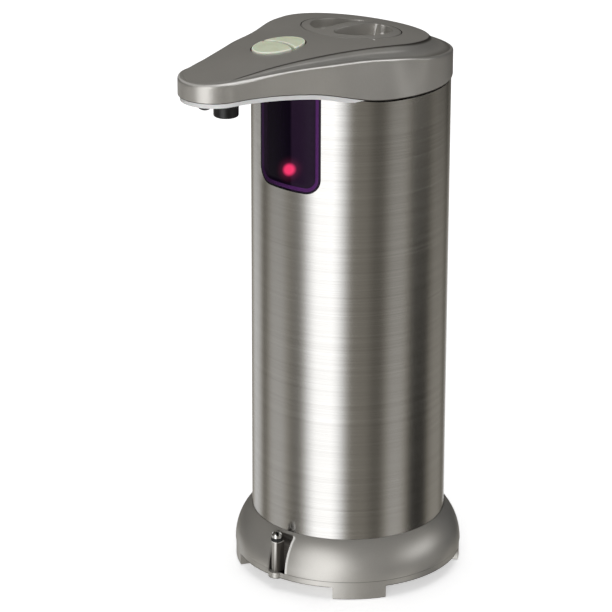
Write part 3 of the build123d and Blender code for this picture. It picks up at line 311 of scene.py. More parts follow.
keyLook = {
    # the rim colour is a painted highlight on the rounded edge
    "face": rgb(0.66, 0.70, 0.53), "shade": rgb(0.60, 0.64, 0.47), "rim": rgb(0.84, 0.87, 0.74),
    "skinScale": (1900, 1900, 1900), "cloudScale": (260, 260, 260),
    "roughness": 0.42, "spread": 0.15, "soft": 0.25, "softReach": 0.0015,
    "bumpStrength": 0.2, "bumpDepth": 0.00003,
}


def greenSilicone():
    # milky green silicone of two close tones, with a painted highlight where its edge rounds over
    material, mix = newMaterial("greenSilicone")
    look = keyLook
    # share of the painted highlight on the rounded edge
    rim = mix.painted("rim")
    skin = mix.noise(look["skinScale"])
    clouds = mix.noise(look["cloudScale"])
    face = mix.blend(clouds.smooth(noiseLow, noiseHigh), look["shade"], look["face"])
    mix.finish(
        Base_Color=mix.blend(rim, face, look["rim"]),
        Roughness=skin * look["spread"] + look["roughness"],
        Subsurface_Weight=look["soft"],
        Subsurface_Scale=look["softReach"],
        Normal=mix.bump(skin, look["bumpStrength"], look["bumpDepth"]))
    return material


metalLook = {
    # the recess colour is painted shade in hollows
    "shade": 0.82, "recess": rgb(0.02, 0.02, 0.02), "spread": 0.12,
    "bumpStrength": 0.1, "bumpDepth": 0.00001,
}


def brightMetal(name, colour, roughness, scale=(900, 900, 900)):
    # one noise chooses between two close tones, roughens and bumps; recesses, whose painted tone
    # is -1, go nearly black as painted shade
    material, mix = newMaterial(name)
    look = metalLook
    turned = mix.noise(scale)
    darker = rgb(*[channel * look["shade"] for channel in colour])
    face = mix.blend(turned.smooth(noiseLow, noiseHigh), darker, rgb(*colour))
    recess = (mix.painted("tone") * -1.0).smooth(paintedShadeStart, paintedShadeFull)
    mix.finish(
        Base_Color=mix.blend(recess, face, look["recess"]),
        Metallic=1.0,
        Roughness=turned * look["spread"] + roughness,
        Normal=mix.bump(turned, look["bumpStrength"], look["bumpDepth"]))
    return material


clearLook = {
    "dark": rgb(0.80, 0.83, 0.84), "light": rgb(0.90, 0.92, 0.92), "cloudScale": (110, 110, 110),
    "roughness": 0.18, "ior": 1.49, "opacity": 0.38, "spread": 0.1,
}


def clearPlastic():
    # half clear plastic, whose tone, gloss and opacity all vary a little with one noise
    material, mix = newMaterial("clearPlastic")
    look = clearLook
    clouds = mix.noise(look["cloudScale"])
    mix.finish(
        Base_Color=mix.blend(clouds.smooth(noiseLow, noiseHigh), look["dark"], look["light"]),
        Roughness=clouds * look["spread"] + look["roughness"],
        IOR=look["ior"],
        Alpha=clouds * look["spread"] + look["opacity"])
    return material


lampLook = {
    "dark": rgb(0.5, 0.01, 0.03), "light": rgb(0.7, 0.02, 0.06),
    "glowDark": rgb(0.9, 0.03, 0.12), "glowLight": rgb(1.0, 0.05, 0.18), "glow": 1.5,
    "cloudScale": (700, 700, 700), "roughness": 0.2, "spread": 0.1,
}


def litLamp():
    # red lens that glows, uneven by one noise
    material, mix = newMaterial("redLamp")
    look = lampLook
    clouds = mix.noise(look["cloudScale"], detail=2.0)
    mix.finish(
        Base_Color=mix.blend(clouds, look["dark"], look["light"]),
        Roughness=clouds * look["spread"] + look["roughness"],
        Emission_Color=mix.blend(clouds, look["glowDark"], look["glowLight"]),
        Emission_Strength=look["glow"])
    return material


finishes = {
    "satin_nickel_paint": nickelPaint(),
    "brushed_steel": brushedSteel(),
    "violet_window": violetPane(),
    "white_plastic": mouldedPlastic("whitePlastic", (0.66, 0.66, 0.66), 0.95, 0.30, soft=0.05),
    "black_plastic": mouldedPlastic("blackPlastic", (0.010, 0.010, 0.011), 0.7, 0.26),
    "green_silicone": greenSilicone(),
    "bright_screw": brightMetal("brightScrew", (0.88, 0.88, 0.87), 0.16),
    "black_rubber": mouldedPlastic("blackRubber", (0.014, 0.014, 0.014), 0.6, 0.62, grain=1500),
    "clear_plastic": clearPlastic(),
    "grey_plastic": mouldedPlastic("greyPlastic", (0.33, 0.34, 0.35), 0.9, 0.42),
    "cell_jacket": mouldedPlastic("cellJacket", (0.08, 0.16, 0.34), 0.8, 0.25, grain=900),
    "spring_metal": brightMetal("springMetal", (0.72, 0.70, 0.66), 0.22),
    "motor_can": brightMetal("motorCan", (0.62, 0.62, 0.63), 0.30, (40, 40, 1800)),
    "shaft_steel": brightMetal("shaftSteel", (0.70, 0.70, 0.71), 0.15, (60, 60, 2600)),
    "gear_plastic": mouldedPlastic("gearPlastic", (0.78, 0.76, 0.70), 0.92, 0.38),
    "soft_tube": mouldedPlastic("softTube", (0.70, 0.72, 0.72), 0.9, 0.30, soft=0.3),
    "board_green": mouldedPlastic("boardGreen", (0.02, 0.16, 0.07), 0.7, 0.35, grain=700),
    "red_lamp": litLamp(),
}
print("finishes made:", len(finishes))

# every CAD node takes the finish of its own slot
slotOfNode = {entry["node"]: entry["material_slot"]
              for entry in frame["record"].get("subparts", [])}
for name, node in frame["nodes"].items():
    finish = finishes.get(slotOfNode.get(name))
    if finish is None:
        print("no finish for", name, slotOfNode.get(name))
        continue
    if not node.material_slots:
        node.data.materials.append(finish)
    for holder in node.material_slots:
        holder.material = finish
print("CAD nodes dressed")


# meshes: shapes are gathered from grids and sheets, then made a piece


def makePiece(name, shape, body, slot, replaced=(), smoothAngle=38.0, markName="",
              turned=None):
    # the shape's points are turned, put in the frame's metres and joined; doubles are merged and
    # faces turned outwards; the marks stay on the corners if they get a name
    mesh = bpy.data.meshes.new(name)
    points = np.concatenate(shape.points)
    if turned:
        points = turned(points)
    mesh.from_pydata(toRow(points).tolist(), [], [tuple(face) for face in shape.faces])
    if markName:
        layer = mesh.attributes.new(markName, "FLOAT", "POINT")
        layer.data.foreach_set("value", np.concatenate(shape.marks).astype(np.float32))
    work = bmesh.new()
    work.from_mesh(mesh)
    bmesh.ops.remove_doubles(work, verts=work.verts, dist=2e-6)
    bmesh.ops.recalc_face_normals(work, faces=work.faces)
    work.to_mesh(mesh)
    work.free()
    mesh.shade_smooth()
    mesh.set_sharp_from_angle(angle=math.radians(smoothAngle))
    piece = bpy.data.objects.new(name, mesh)
    bpy.context.scene.collection.objects.link(piece)
    mesh.materials.append(finishes[slot])
    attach(piece, body)
    if replaced:
        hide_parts(*replaced)
    print("piece", name, len(mesh.polygons), "faces")


class Shape:
    # gathers grids, strips and flat faces into one list of points and faces
    def __init__(self):
        self.points = []
        self.faces = []
        self.count = 0
        self.marks = []

    def put(self, points, faces, mark=0.0):
        # points with their faces; mark is a number for all of them, or one for each
        points = np.asarray(points, dtype=float).reshape(-1, 3)
        self.points.append(points)
        self.faces.extend((np.asarray(face) + self.count).tolist() for face in faces)
        self.marks.append(np.broadcast_to(mark, len(points)).astype(float))
        self.count += len(points)

    def lid(self, points, mark=0.0):
        # one face that has these points as its corners
        self.put(points, [range(len(points))], mark)

    def grid(self, rows, closed=True, mark=0.0):
        # one quad between each two places and rows that follow each other; rows: (row, place,
        # xyz); closed joins the last place to the first; mark is one number, one for each row,
        # or one for each place of each row
        rows = np.asarray(rows, dtype=float)
        count, places = rows.shape[0], rows.shape[1]
        index = np.arange(count * places).reshape(count, places)
        following = np.roll(index, -1, axis=1) if closed else index[:, 1:]
        here = index if closed else index[:, :-1]
        quads = np.stack([here[:-1], following[:-1], following[1:], here[1:]], axis=-1)
        mark = np.asarray(mark, dtype=float)
        mark = mark.reshape(-1, 1) if mark.ndim == 1 else mark
        marks = np.broadcast_to(mark, (count, places)).reshape(-1)
        self.put(rows.reshape(-1, 3), quads.reshape(-1, 4), marks)

    def sheet(self, loops, heightOf, spacing, mark=0.0):
        # the face between an outer loop and holes, filled by Delaunay triangles over a staggered
        # grid of inner points; heightOf gives z from x and forward
        flat, inner = fillBetween(loops, spacing)
        points = np.column_stack([flat, np.zeros(len(flat))])
        edge = np.concatenate([np.asarray(loop)[:, 2] for loop in loops])
        points[:len(edge), 2] = edge
        points[len(edge):, 2] = heightOf(flat[len(edge):, 0], flat[len(edge):, 1])
        self.put(points, inner, mark)


def levelAt(z):
    # the same height everywhere
    return lambda x, forward: np.full(np.shape(x), z)


def insideLoop(points, loop):
    # even-odd test of points against a closed loop, all at once
    x, y = points[:, :1], points[:, 1:2]
    ax, ay = loop[:, 0], loop[:, 1]
    bx, by = np.roll(ax, -1), np.roll(ay, -1)
    crosses = (ay > y) != (by > y)
    with np.errstate(divide="ignore", invalid="ignore"):
        where = (bx - ax) * (y - ay) / (by - ay) + ax
    return (np.sum(crosses & (x < where), axis=1) % 2) == 1


def distanceToLoop(points, loop):
    # nearest distance from each point to the loop's corners
    gap = points[:, None, :] - loop[None, :, :]
    return np.sqrt((gap ** 2).sum(axis=2).min(axis=1))


def fillBetween(loops, spacing):
    # a grid of points with every other row shifted by half a step, kept between the outer loop
    # and the holes and clear of their corners, then joined to them by Delaunay triangles
    flats = [np.asarray(loop)[:, :2] for loop in loops]
    low, high = flats[0].min(axis=0), flats[0].max(axis=0)
    startShare, rowShare, clearShare = 0.3, 0.866, 0.6
    xs = np.arange(low[0] + spacing * startShare, high[0], spacing)
    ys = np.arange(low[1], high[1], spacing * rowShare)
    gridX, gridY = np.meshgrid(xs, ys)
    gridX = gridX + (np.arange(len(ys)) % 2)[:, None] * spacing / 2
    cloud = np.column_stack([gridX.ravel(), gridY.ravel()])
    cloud = cloud[betweenLoops(cloud, flats)]
    for loop in flats:
        cloud = cloud[distanceToLoop(cloud, loop) > spacing * clearShare]
    points = np.concatenate(flats + [cloud])
    edges, start = [], 0
    for loop in flats:
        around = np.arange(len(loop)) + start
        edges.extend(np.column_stack([around, np.roll(around, -1)]).tolist())
        start += len(loop)
    result = delaunay_2d_cdt([Vector(point) for point in points], edges, [], 0, 1e-7)
    corners = np.array([list(vertex) for vertex in result[0]])
    triangles = np.array([list(face) for face in result[2]])
    # vertex order may change, so points are matched back by their source lists
    order = np.array([source[0] if source else -1 for source in result[3]])
    kept = betweenLoops(corners[triangles].mean(axis=1), flats)
    return points, order[triangles[kept]]


def betweenLoops(points, loops):
    # inside the first loop and outside all the others
    kept = insideLoop(points, loops[0])
    for hole in loops[1:]:
        kept &= ~insideLoop(points, hole)
    return kept


def smoothShare(value, low, high):
    # 0 up to low, 1 from high on, and 3 t squared less 2 t cubed between
    share = np.clip((value - low) / (high - low), 0, 1)
    return share * share * (3 - 2 * share)


def quarterTurn(count):
    # evenly spaced angles from 0 to a right angle, both included
    return np.linspace(0, math.pi / 2, count)


def withHeight(loop, z):
    # a flat loop with a height, or one height for each place, as its last column
    return np.column_stack([loop, np.broadcast_to(z, len(loop))])


def laidOn(loop, heightOf, lowered=0.0):
    # a flat loop with the heights of a surface, less what it is lowered by
    return withHeight(loop, heightOf(loop[:, 0], loop[:, 1]) - lowered)


# the head

head = {
    "backRadius": 33.5, "tipRadius": 11.4, "tipForward": 67.2, "flankRadius": 199.0,
    "deckRadius": 25.7, "deckTipRadius": 10.7,
    "rimArc": 480.0, "rimCrest": 55.0, "rimCrestZ": 188.5,
    "deckArcAcross": 1000.0, "deckArcAlong": 310.0, "deckCrest": 36.0, "deckCrestZ": 191.12,
    # what the shoulders lose on each side, and between which forward places it comes and goes
    "narrow": 2.4, "narrowFrom": (0, 11), "narrowTo": (16, 38),
    "deckNarrow": 1.8, "deckNarrowFrom": (12, 32), "deckNarrowTo": (54, 76),
    "deckDip": 0.62, "dipFrom": (12, 32), "dipTo": (56, 78),
    # the deck's half width: at the axis, what it loses with each mm forward, and at least
    "deckHalf": 24.5, "deckHalfSlope": 0.225, "deckHalfLeast": 8.0,
    # heights of the wall's lower edge at these forward places, rounded over a stretch of blur
    "under": [(-60, 173.8), (17, 173.8), (21.3, 174.2), (26.5, 175.55), (30.9, 176.8),
              (34.5, 177.85), (39, 178.95), (48, 180.3), (54.4, 181.05), (63.7, 181.8),
              (70, 182.05), (100, 182.1)],
    "blur": 5.0, "cadUnder": (174.0, 182.0, 10.0, 63.4),
    # the rim's rounding grows and the rim meets the deck towards the tip
    "rimEdge": 0.65, "tipEdge": 1.25, "edgeGrows": (48, 70), "rimMeets": (62, 76), "rimStep": 0.1,
    "deckEdge": 0.35, "foot": 0.35,
    "coveTurn": 18.0, "coveFades": (60, 74), "coveLeast": 0.25, "coveSoft": 0.3,
    # where the rim's painted highlight starts and ends, where the cove's painted shade and
    # highlight end, and where the cove's painted shade round the back gives way to its painted
    # paleness
    "highlightFrom": (-4, 14), "highlightTo": (70, 78), "seamTo": (65, 73), "paleFrom": (-8, 10),
    # painted highlight of the rim round the back, along the flanks, and what it loses at the tip
    "highlightBack": 0.15, "highlightFlank": 0.85, "highlightTip": 0.4,
    # painted tones across the cove: shade at the top and the share where it starts, shade at the
    # foot and where it ends, a highlight in the middle with its place and half width, shade round
    # the back, and shade at the deck's edge
    "coveTop": (0.85, 0.86), "coveFoot": (0.5, 0.35), "covePale": (0.5, 0.62, 0.25),
    "coveBack": 0.2, "deckEdgeTone": -0.6,
    # painted shade down the walls of the deck's two openings
    "openingTones": [0.0, -0.2, -0.6, -0.9, -1.0, -1.0],
    "wall": 2.0, "ceiling": 2.4, "deckStep": 0.8, "rimLedge": 2.6,
    # distances between the inner points of the deck and of its underside
    "spacing": 1.5, "ceilingSpacing": 3.0,
    "aroundBack": 110, "aroundFlank": 60, "aroundTip": 36,
}


def headLoop():
    # plan of the head as a closed loop: back circle, concave flank arc, round tip, and mirrored
    big, tip = head["backRadius"], head["tipRadius"]
    reach, flank = head["tipForward"], head["flankRadius"]
    first, second = big + flank, tip + flank
    along = (first ** 2 - second ** 2 + reach ** 2) / (2 * reach)
    across = math.sqrt(first ** 2 - along ** 2)
    atBig = math.atan2(across, along)
    atTip = math.atan2(across, along - reach)
    back = np.linspace(math.pi, atBig, head["aroundBack"], endpoint=False)
    side = np.linspace(atBig, atTip, head["aroundFlank"], endpoint=False)
    nose = np.linspace(atTip, 0, head["aroundTip"], endpoint=False)
    half = np.concatenate([
        np.column_stack([big * np.sin(back), big * np.cos(back)]),
        np.column_stack([across - flank * np.sin(side), along - flank * np.cos(side)]),
        np.column_stack([tip * np.sin(nose), reach + tip * np.cos(nose)])])
    mirrored = half[1:][::-1] * [-1, 1]
    return np.concatenate([half, [[0, reach + tip]], mirrored])


def swell(forward, rise, fall):
    # eases up between the two rise places and down between the two fall places
    return smoothShare(forward, *rise) * (1 - smoothShare(forward, *fall))


def rimLoop(foot):
    # the wall leans in at the shoulders, so the rim is narrower there than the foot
    lean = head["narrow"] * swell(foot[:, 1], head["narrowFrom"], head["narrowTo"])
    sideways = np.sign(foot[:, 0]) * np.minimum(lean, np.abs(foot[:, 0]))
    return foot - np.column_stack([sideways, 0 * lean])


def nearestOnDeck(points):
    # nearest point of the deck's plan: radial to the two circles, square to their tangent between
    big, tip, reach = head["deckRadius"], head["deckTipRadius"], head["tipForward"]
    angle = math.acos((big - tip) / reach)
    side = np.where(points[:, 0] < 0, -1.0, 1.0)
    x, forward = np.abs(points[:, 0]), points[:, 1]
    start = np.array([big * math.sin(angle), big * math.cos(angle)])
    step = np.array([-math.cos(angle), math.sin(angle)])
    length = reach * math.sin(angle)
    run = (x - start[0]) * step[0] + (forward - start[1]) * step[1]
    line = start + np.clip(run, 0, length)[:, None] * step
    fromBack = np.column_stack([x, forward])
    fromTip = np.column_stack([x, forward - reach])
    onBack = fromBack / np.linalg.norm(fromBack, axis=1, keepdims=True) * big
    onTip = fromTip / np.linalg.norm(fromTip, axis=1, keepdims=True) * tip + [0, reach]
    result = np.where((run < 0)[:, None], onBack, np.where((run > length)[:, None], onTip, line))
    return result * np.column_stack([side, np.ones(len(side))])


def rimTop(forward):
    # height of the rim: its crest less the squared distance from it over twice the arc's radius
    return head["rimCrestZ"] - (forward - head["rimCrest"]) ** 2 / (2 * head["rimArc"])


def deckTop(x, forward):
    # one arc from front to back, a shallow crown across, and edges that dip along the spout
    radius = head["deckArcAlong"]
    half = np.maximum(head["deckHalf"] - head["deckHalfSlope"] * forward, head["deckHalfLeast"])
    dip = head["deckDip"] * swell(forward, head["dipFrom"], head["dipTo"]) * (x / half) ** 2
    return (head["deckCrestZ"] - radius + np.sqrt(radius ** 2 - (forward - head["deckCrest"]) ** 2)
            - x ** 2 / (2 * head["deckArcAcross"]) - dip)


def rimBottom(forward):
    # straight runs between the measured heights, averaged over a bell-shaped window
    step = 0.25
    fine = np.arange(-80, 120, step)
    places, heights = np.array(head["under"], dtype=float).T
    bell = np.hanning(int(2 * head["blur"] / step) + 1)
    smooth = np.convolve(np.interp(fine, places, heights), bell / bell.sum(), "same")
    inner = slice(len(bell), -len(bell))
    return np.interp(forward, fine[inner], smooth[inner])


def cadBottom(forward):
    # the CAD's lower edge: two equal arcs from the low level up to the level under the spout
    low, high, start, end = head["cadUnder"]
    run, rise = end - start, high - low
    radius = (run ** 2 + rise ** 2) / (4 * rise)
    early = np.clip(forward - start, 0, run / 2)
    late = np.clip(end - forward, 0, run / 2)
    return np.where(forward < (start + end) / 2, low + radius - np.sqrt(radius ** 2 - early ** 2),
                    high - radius + np.sqrt(radius ** 2 - late ** 2))


cap = {
    "lean": math.asin(36.0 / 310.0), "seam": 16.45, "gap": 0.16, "edge": 0.22, "lift": 1.5,
    "skirt": (1.5, 1.0, 0.6), "cup": 14.6, "cupZ": -6.1, "around": 180,
    "dishRadius": 13.5, "dishDepth": 4.5, "barHalf": 1.9, "dishEdge": 0.35, "dishFoot": 2.4,
    "corner": 2.4, "cornerLeast": 0.05, "draft": 0.12,
    # places along a pocket's arc, each corner and its straight side
    "arcPlaces": 61, "cornerPlaces": 13, "barPlaces": 31,
    # distances between the inner points of the top, the pockets and the cup's floor
    "spacing": 1.0, "pocketSpacing": 1.2, "floorSpacing": 3.0,
    "finWidth": 0.42, "finRise": 0.7, "finBack": 10.1, "finLean": 0.9, "finSink": 0.2,
    "finTop": 0.45, "finCrest": 0.55, "finChamfer": 0.08,
    "markRadius": 17.9, "markTurn": 64.2, "markLong": 1.3, "markWide": 0.42, "markRise": 0.05,
    "markSink": 0.2,
}
keys = {
    "middle": 36.3, "halfWide": 6.6, "halfLong": 10.6, "gap": 0.38,
    "split": 34.3, "splitRise": 2.3, "splitGap": 1.2, "proud": 0.45, "edge": 0.34, "rimWide": 0.16,
    "flangeZ": 186.9, "lipZ": 187.7, "around": 120,
    # places on the oval that the split cuts, and on the split line
    "finePlaces": 7201, "splitPlaces": 42,
    # distances between the inner points of the top and of the flange
    "spacing": 0.8, "flangeSpacing": 2.0,
}


def circleLoop(radius, places):
    # radius times the sine and minus the cosine of evenly spaced turns, from the back round
    turn = np.linspace(0, 2 * math.pi, places, endpoint=False)
    return np.column_stack([radius * np.sin(turn), -radius * np.cos(turn)])


def ovalLoop(grow, places):
    # the keys' ellipse, grown on all sides: half widths times sine and minus cosine
    turn = np.linspace(0, 2 * math.pi, places, endpoint=False)
    return np.column_stack([(keys["halfWide"] + grow) * np.sin(turn),
                            keys["middle"] - (keys["halfLong"] + grow) * np.cos(turn)])


def ceilingZ(x, forward):
    # the deck's underside, one wall's thickness below its top
    return deckTop(x, forward) - head["ceiling"]


def buildHead():
    # rows of one closed loop each, from the wall's foot up over the rim, down the cove and up to
    # the deck's edge; every place moves straight inwards, from the rim to the deck's nearest point
    shape = Shape()
    wallFoot = headLoop()
    rim = rimLoop(wallFoot)
    gap = nearestOnDeck(rim) - rim
    width = np.linalg.norm(gap, axis=1, keepdims=True)
    inward = gap / width
    forward = rim[:, 1]
    shrink = swell(forward, head["deckNarrowFrom"], head["deckNarrowTo"])
    width = width + (head["deckNarrow"] * shrink)[:, None]
    grown = smoothShare(forward, *head["edgeGrows"])
    edge = head["rimEdge"] + (head["tipEdge"] - head["rimEdge"]) * grown
    # soft maximum of the cove's width and the least it may have
    least = edge[:, None] + head["coveLeast"]
    width = (width + least + np.sqrt((width - least) ** 2 + head["coveSoft"])) / 2
    deck = rim + inward * width
    deckZ = deckTop(deck[:, 0], deck[:, 1])
    rimZ = rimTop(forward)
    rimZ = rimZ + (deckZ - head["rimStep"] - rimZ) * smoothShare(forward, *head["rimMeets"])
    bottom = rimBottom(forward)
    rows, tones = [], []
    # the rim gets a painted highlight along the spout and the flanks, hardly any round the back
    paintedHighlight = (head["highlightBack"] + head["highlightFlank"] * smoothShare(forward, *head["highlightFrom"])
            - head["highlightTip"] * smoothShare(forward, *head["highlightTo"]))
    # shares of the cove's painted shade and highlight, which end towards the tip, and of its paler
    # painted middle, which comes after the back
    seam = 1 - smoothShare(forward, *head["seamTo"])
    along = smoothShare(forward, *head["paleFrom"])
    # foot of the wall, rounded and painted dark as the shade of the gap above the cover, then up
    # the wall
    for angle in quarterTurn(4):
        inset = head["foot"] * (1 - math.sin(angle))
        rows.append(withHeight(wallFoot + inward * inset,
                               bottom + head["foot"] * (1 - math.cos(angle))))
        tones.append(-1.0)
    for share in (0.004, *np.linspace(0.1, 1, 8)):
        wallHigh = rimZ - edge - bottom - head["foot"]
        rows.append(withHeight(wallFoot + (rim - wallFoot) * share,
                               bottom + head["foot"] + wallHigh * share))
        tones.append(0.0)
    # rounded rim, with its painted highlight
    for angle in quarterTurn(9)[1:]:
        rows.append(withHeight(rim + inward * (edge * (1 - math.cos(angle)))[:, None],
                               rimZ - edge * (1 - math.sin(angle))))
        tones.append(math.sin(2 * angle) ** 2 * paintedHighlight)
    # cove: a chord from the rim to the deck's edge, bowed in by the sagitta of its turn
    start = rows[-1]
    end = withHeight(deck, deckZ - head["deckEdge"] * 0.5)
    chord = end - start
    bow = np.tan(math.radians(head["coveTurn"])) / 2
    down = np.column_stack([chord[:, 2:3] * inward, -np.sum(chord[:, :2] * inward, axis=1)])
    fade = (1 - smoothShare(forward, *head["coveFades"]))[:, None]
    topTone, topStart = head["coveTop"]
    footTone, footEnd = head["coveFoot"]
    paleTone, palePlace, paleHalf = head["covePale"]
    for share in np.linspace(0, 1, 15)[1:]:
        rows.append(start + chord * share + down * bow * 2 * share * (1 - share) * fade)
        # painted shade at the cove's top and foot and round the back, a painted highlight in its
        # middle
        tones.append(-topTone * max(0.0, (share - topStart) / (1 - topStart)) * seam
                     - footTone * max(0.0, (footEnd - share) / footEnd) * seam
                     + paleTone * max(0.0, 1 - abs(share - palePlace) / paleHalf) * along * seam
                     - head["coveBack"] * (1 - along))
    # soft edge of the deck, painted dark where it turns down
    for angle in quarterTurn(5)[1:]:
        inset = width + head["deckEdge"] * math.sin(angle)
        rows.append(laidOn(rim + inward * inset, deckTop,
                           head["deckEdge"] * 0.5 * (1 - math.sin(angle)) ** 2))
        tones.append((head["deckEdgeTone"] if angle < 1 else 0.0) * seam)
    shape.grid(rows, mark=np.stack([np.broadcast_to(tone, len(rim)) for tone in tones]))
    # openings for the cap and the keys, each with a rounded lip and a wall painted dark as shade
    lip = cap["edge"]
    capPlan = circleLoop(cap["seam"] + cap["gap"], cap["around"])
    keyPlan = ovalLoop(keys["gap"], keys["around"])
    capRim = circleLoop(cap["seam"] + cap["gap"] + lip, cap["around"])
    keyRim = ovalLoop(keys["gap"] + lip, keys["around"])
    holes = [laidOn(loop, deckTop) for loop in (capRim, keyRim)]
    shape.sheet([rows[-1]] + holes, deckTop, head["spacing"])
    innerHoles = []
    for outer, inner in ((capRim, capPlan), (keyRim, keyPlan)):
        walls = []
        for angle in quarterTurn(5):
            plan = outer + (inner - outer) * math.sin(angle)
            walls.append(laidOn(plan, deckTop, lip * (1 - math.cos(angle))))
        walls.append(laidOn(inner, ceilingZ))
        innerHoles.append(walls[-1])
        shape.grid(walls, mark=np.array(head["openingTones"]))
    # inside: ceiling under the deck, painted dark as shade, step under the rim, inner wall down to
    # the foot
    innerDeck = rim + inward * (width + head["wall"] + head["deckStep"])
    innerRim = wallFoot + inward * (head["wall"] + head["rimLedge"])
    innerTop = laidOn(innerDeck, ceilingZ)
    stepZ = np.minimum(rimTop(forward) - head["wall"], innerTop[:, 2])
    shape.sheet([innerTop] + innerHoles, ceilingZ, head["ceilingSpacing"], -1.0)
    shape.grid([innerTop, withHeight(innerDeck, stepZ), withHeight(innerRim, stepZ),
                withHeight(innerRim, bottom), rows[0]])
    makePiece("headShell", shape, "dispenser", "satin_nickel_paint", ["head_shell"],
              markName="tone")


buildHead()


# the filler cap


def halfMoon(side, inset):
    # D-shaped loop: an arc of the dish and its chord along the bar, corners rounded
    radius = cap["dishRadius"] - inset
    chord = cap["barHalf"] + inset
    corner = max(cap["corner"] - inset, cap["cornerLeast"])
    centreX = chord + corner
    centreY = math.sqrt((radius - corner) ** 2 - centreX ** 2)
    turn = math.atan2(centreY, centreX)
    arc = np.linspace(-turn, turn, cap["arcPlaces"])
    upper = np.linspace(turn, math.pi, cap["cornerPlaces"])[1:]
    line = np.linspace(centreY, -centreY, cap["barPlaces"])[1:-1]
    lower = np.linspace(math.pi, 2 * math.pi - turn, cap["cornerPlaces"])[:-1]
    loop = np.concatenate([
        np.column_stack([radius * np.cos(arc), radius * np.sin(arc)]),
        np.column_stack([centreX + corner * np.cos(upper), centreY + corner * np.sin(upper)]),
        np.column_stack([np.full(len(line), chord), line]),
        np.column_stack([centreX + corner * np.cos(lower), -centreY + corner * np.sin(lower)])])
    return loop * [side, 1]


def leanCap(points):
    # cap-plane points (x, back, up) leaned about the deck's centre over the axis
    points = np.asarray(points, dtype=float)
    lean = cap["lean"]
    centreZ = deckTop(0.0, 0.0)
    back = points[..., 1] * math.cos(lean) + points[..., 2] * math.sin(lean)
    up = points[..., 2] * math.cos(lean) - points[..., 1] * math.sin(lean)
    return np.stack([points[..., 0], -back, centreZ + up], axis=-1)


def capTop(x, y):
    # the deck's own curve plus a slight swell towards the middle, over the cap's plane
    return (cap["lift"] * (1 - (x ** 2 + y ** 2) / cap["seam"] ** 2)
            - y ** 2 / (2 * head["deckArcAlong"]) - x ** 2 / (2 * head["deckArcAcross"]))


def buildCap():
    # circles from the cup's floor up the skirt and over the rounded edge, two D-shaped pockets
    # whose walls end in a quarter round, and the top between them
    shape = Shape()
    seam, edge = cap["seam"], cap["edge"]
    cup = circleLoop(cap["cup"], cap["around"])
    rows = [withHeight(cup, cap["cupZ"]), withHeight(cup, -cap["skirt"][0])]
    rows += [withHeight(circleLoop(seam, cap["around"]), -depth) for depth in cap["skirt"]]
    for angle in quarterTurn(6):
        plan = circleLoop(seam - edge * (1 - math.cos(angle)), cap["around"])
        rows.append(laidOn(plan, capTop, edge * (1 - math.sin(angle))))
    shape.grid(rows)
    shape.sheet(rows[:1], levelAt(cap["cupZ"]), cap["floorSpacing"])
    moons = []
    lip, foot, deep, draft = cap["dishEdge"], cap["dishFoot"], cap["dishDepth"], cap["draft"]
    for side in (-1, 1):
        levels = []
        for angle in quarterTurn(6):
            plan = halfMoon(side, lip * math.sin(angle) - lip)
            levels.append(laidOn(plan, capTop, lip * (1 - math.cos(angle))))
        for share in np.linspace(0.2, 1, 5):
            plan = halfMoon(side, draft * share)
            levels.append(withHeight(plan, -lip - (deep - foot - lip) * share))
        for angle in quarterTurn(9)[1:]:
            plan = halfMoon(side, draft + foot * (1 - math.cos(angle)))
            levels.append(withHeight(plan, -deep + foot * (1 - math.sin(angle))))
        moons.append(levels[0])
        shape.grid(levels)
        shape.sheet([levels[-1]], levelAt(-deep), cap["pocketSpacing"])
    shape.sheet([rows[-1]] + moons, capTop, cap["spacing"])
    makePiece("fillerCap", shape, "cap", "satin_nickel_paint", ["filler_cap"], turned=leanCap)


def buildCapRib():
    # thin upright rib on the bar, round at its outer end, leaning back towards its foot
    half, bar, sunk = cap["finWidth"] / 2, cap["barHalf"], cap["finSink"]
    turn = np.linspace(-math.pi / 2, math.pi / 2, 9)
    plan = np.concatenate([
        np.column_stack([bar + cap["finRise"] - half + half * np.cos(turn),
                         cap["finBack"] + half * np.sin(turn)]),
        [[bar - sunk, cap["finBack"] + half], [bar - sunk, cap["finBack"] - half]]])
    foot = withHeight(plan - [0, cap["finLean"]], -cap["dishDepth"] + sunk)
    crest = withHeight(plan - [cap["finChamfer"], 0], cap["finCrest"])
    rib = Shape()
    # the rib carries a painted highlight all over
    rib.grid([foot, withHeight(plan, cap["finTop"]), crest], mark=1.0)
    rib.lid(foot, 1.0)
    rib.lid(crest, 1.0)
    makePiece("capRib", rib, "cap", "satin_nickel_paint", markName="tone", turned=leanCap)


def buildDeckMark():
    # small raised line on the deck beside the seam, which the cap's rib lines up with
    turn = math.radians(cap["markTurn"])
    along = np.array([math.sin(turn), math.cos(turn)]) * cap["markLong"] / 2
    across = np.array([math.cos(turn), -math.sin(turn)]) * cap["markWide"] / 2
    middle = np.array([math.sin(turn), math.cos(turn)]) * cap["markRadius"]
    flat = np.array([middle - along - across, middle - along + across,
                     middle + along + across, middle + along - across])
    low, high = laidOn(flat, deckTop, cap["markSink"]), laidOn(flat, deckTop, -cap["markRise"])
    mark = Shape()
    # the line carries a painted highlight
    mark.grid([low, high], mark=1.0)
    mark.lid(low, 1.0)
    mark.lid(high, 1.0)
    makePiece("deckMark", mark, "dispenser", "satin_nickel_paint", markName="tone")


buildCap()
buildCapRib()
buildDeckMark()


# the two keys


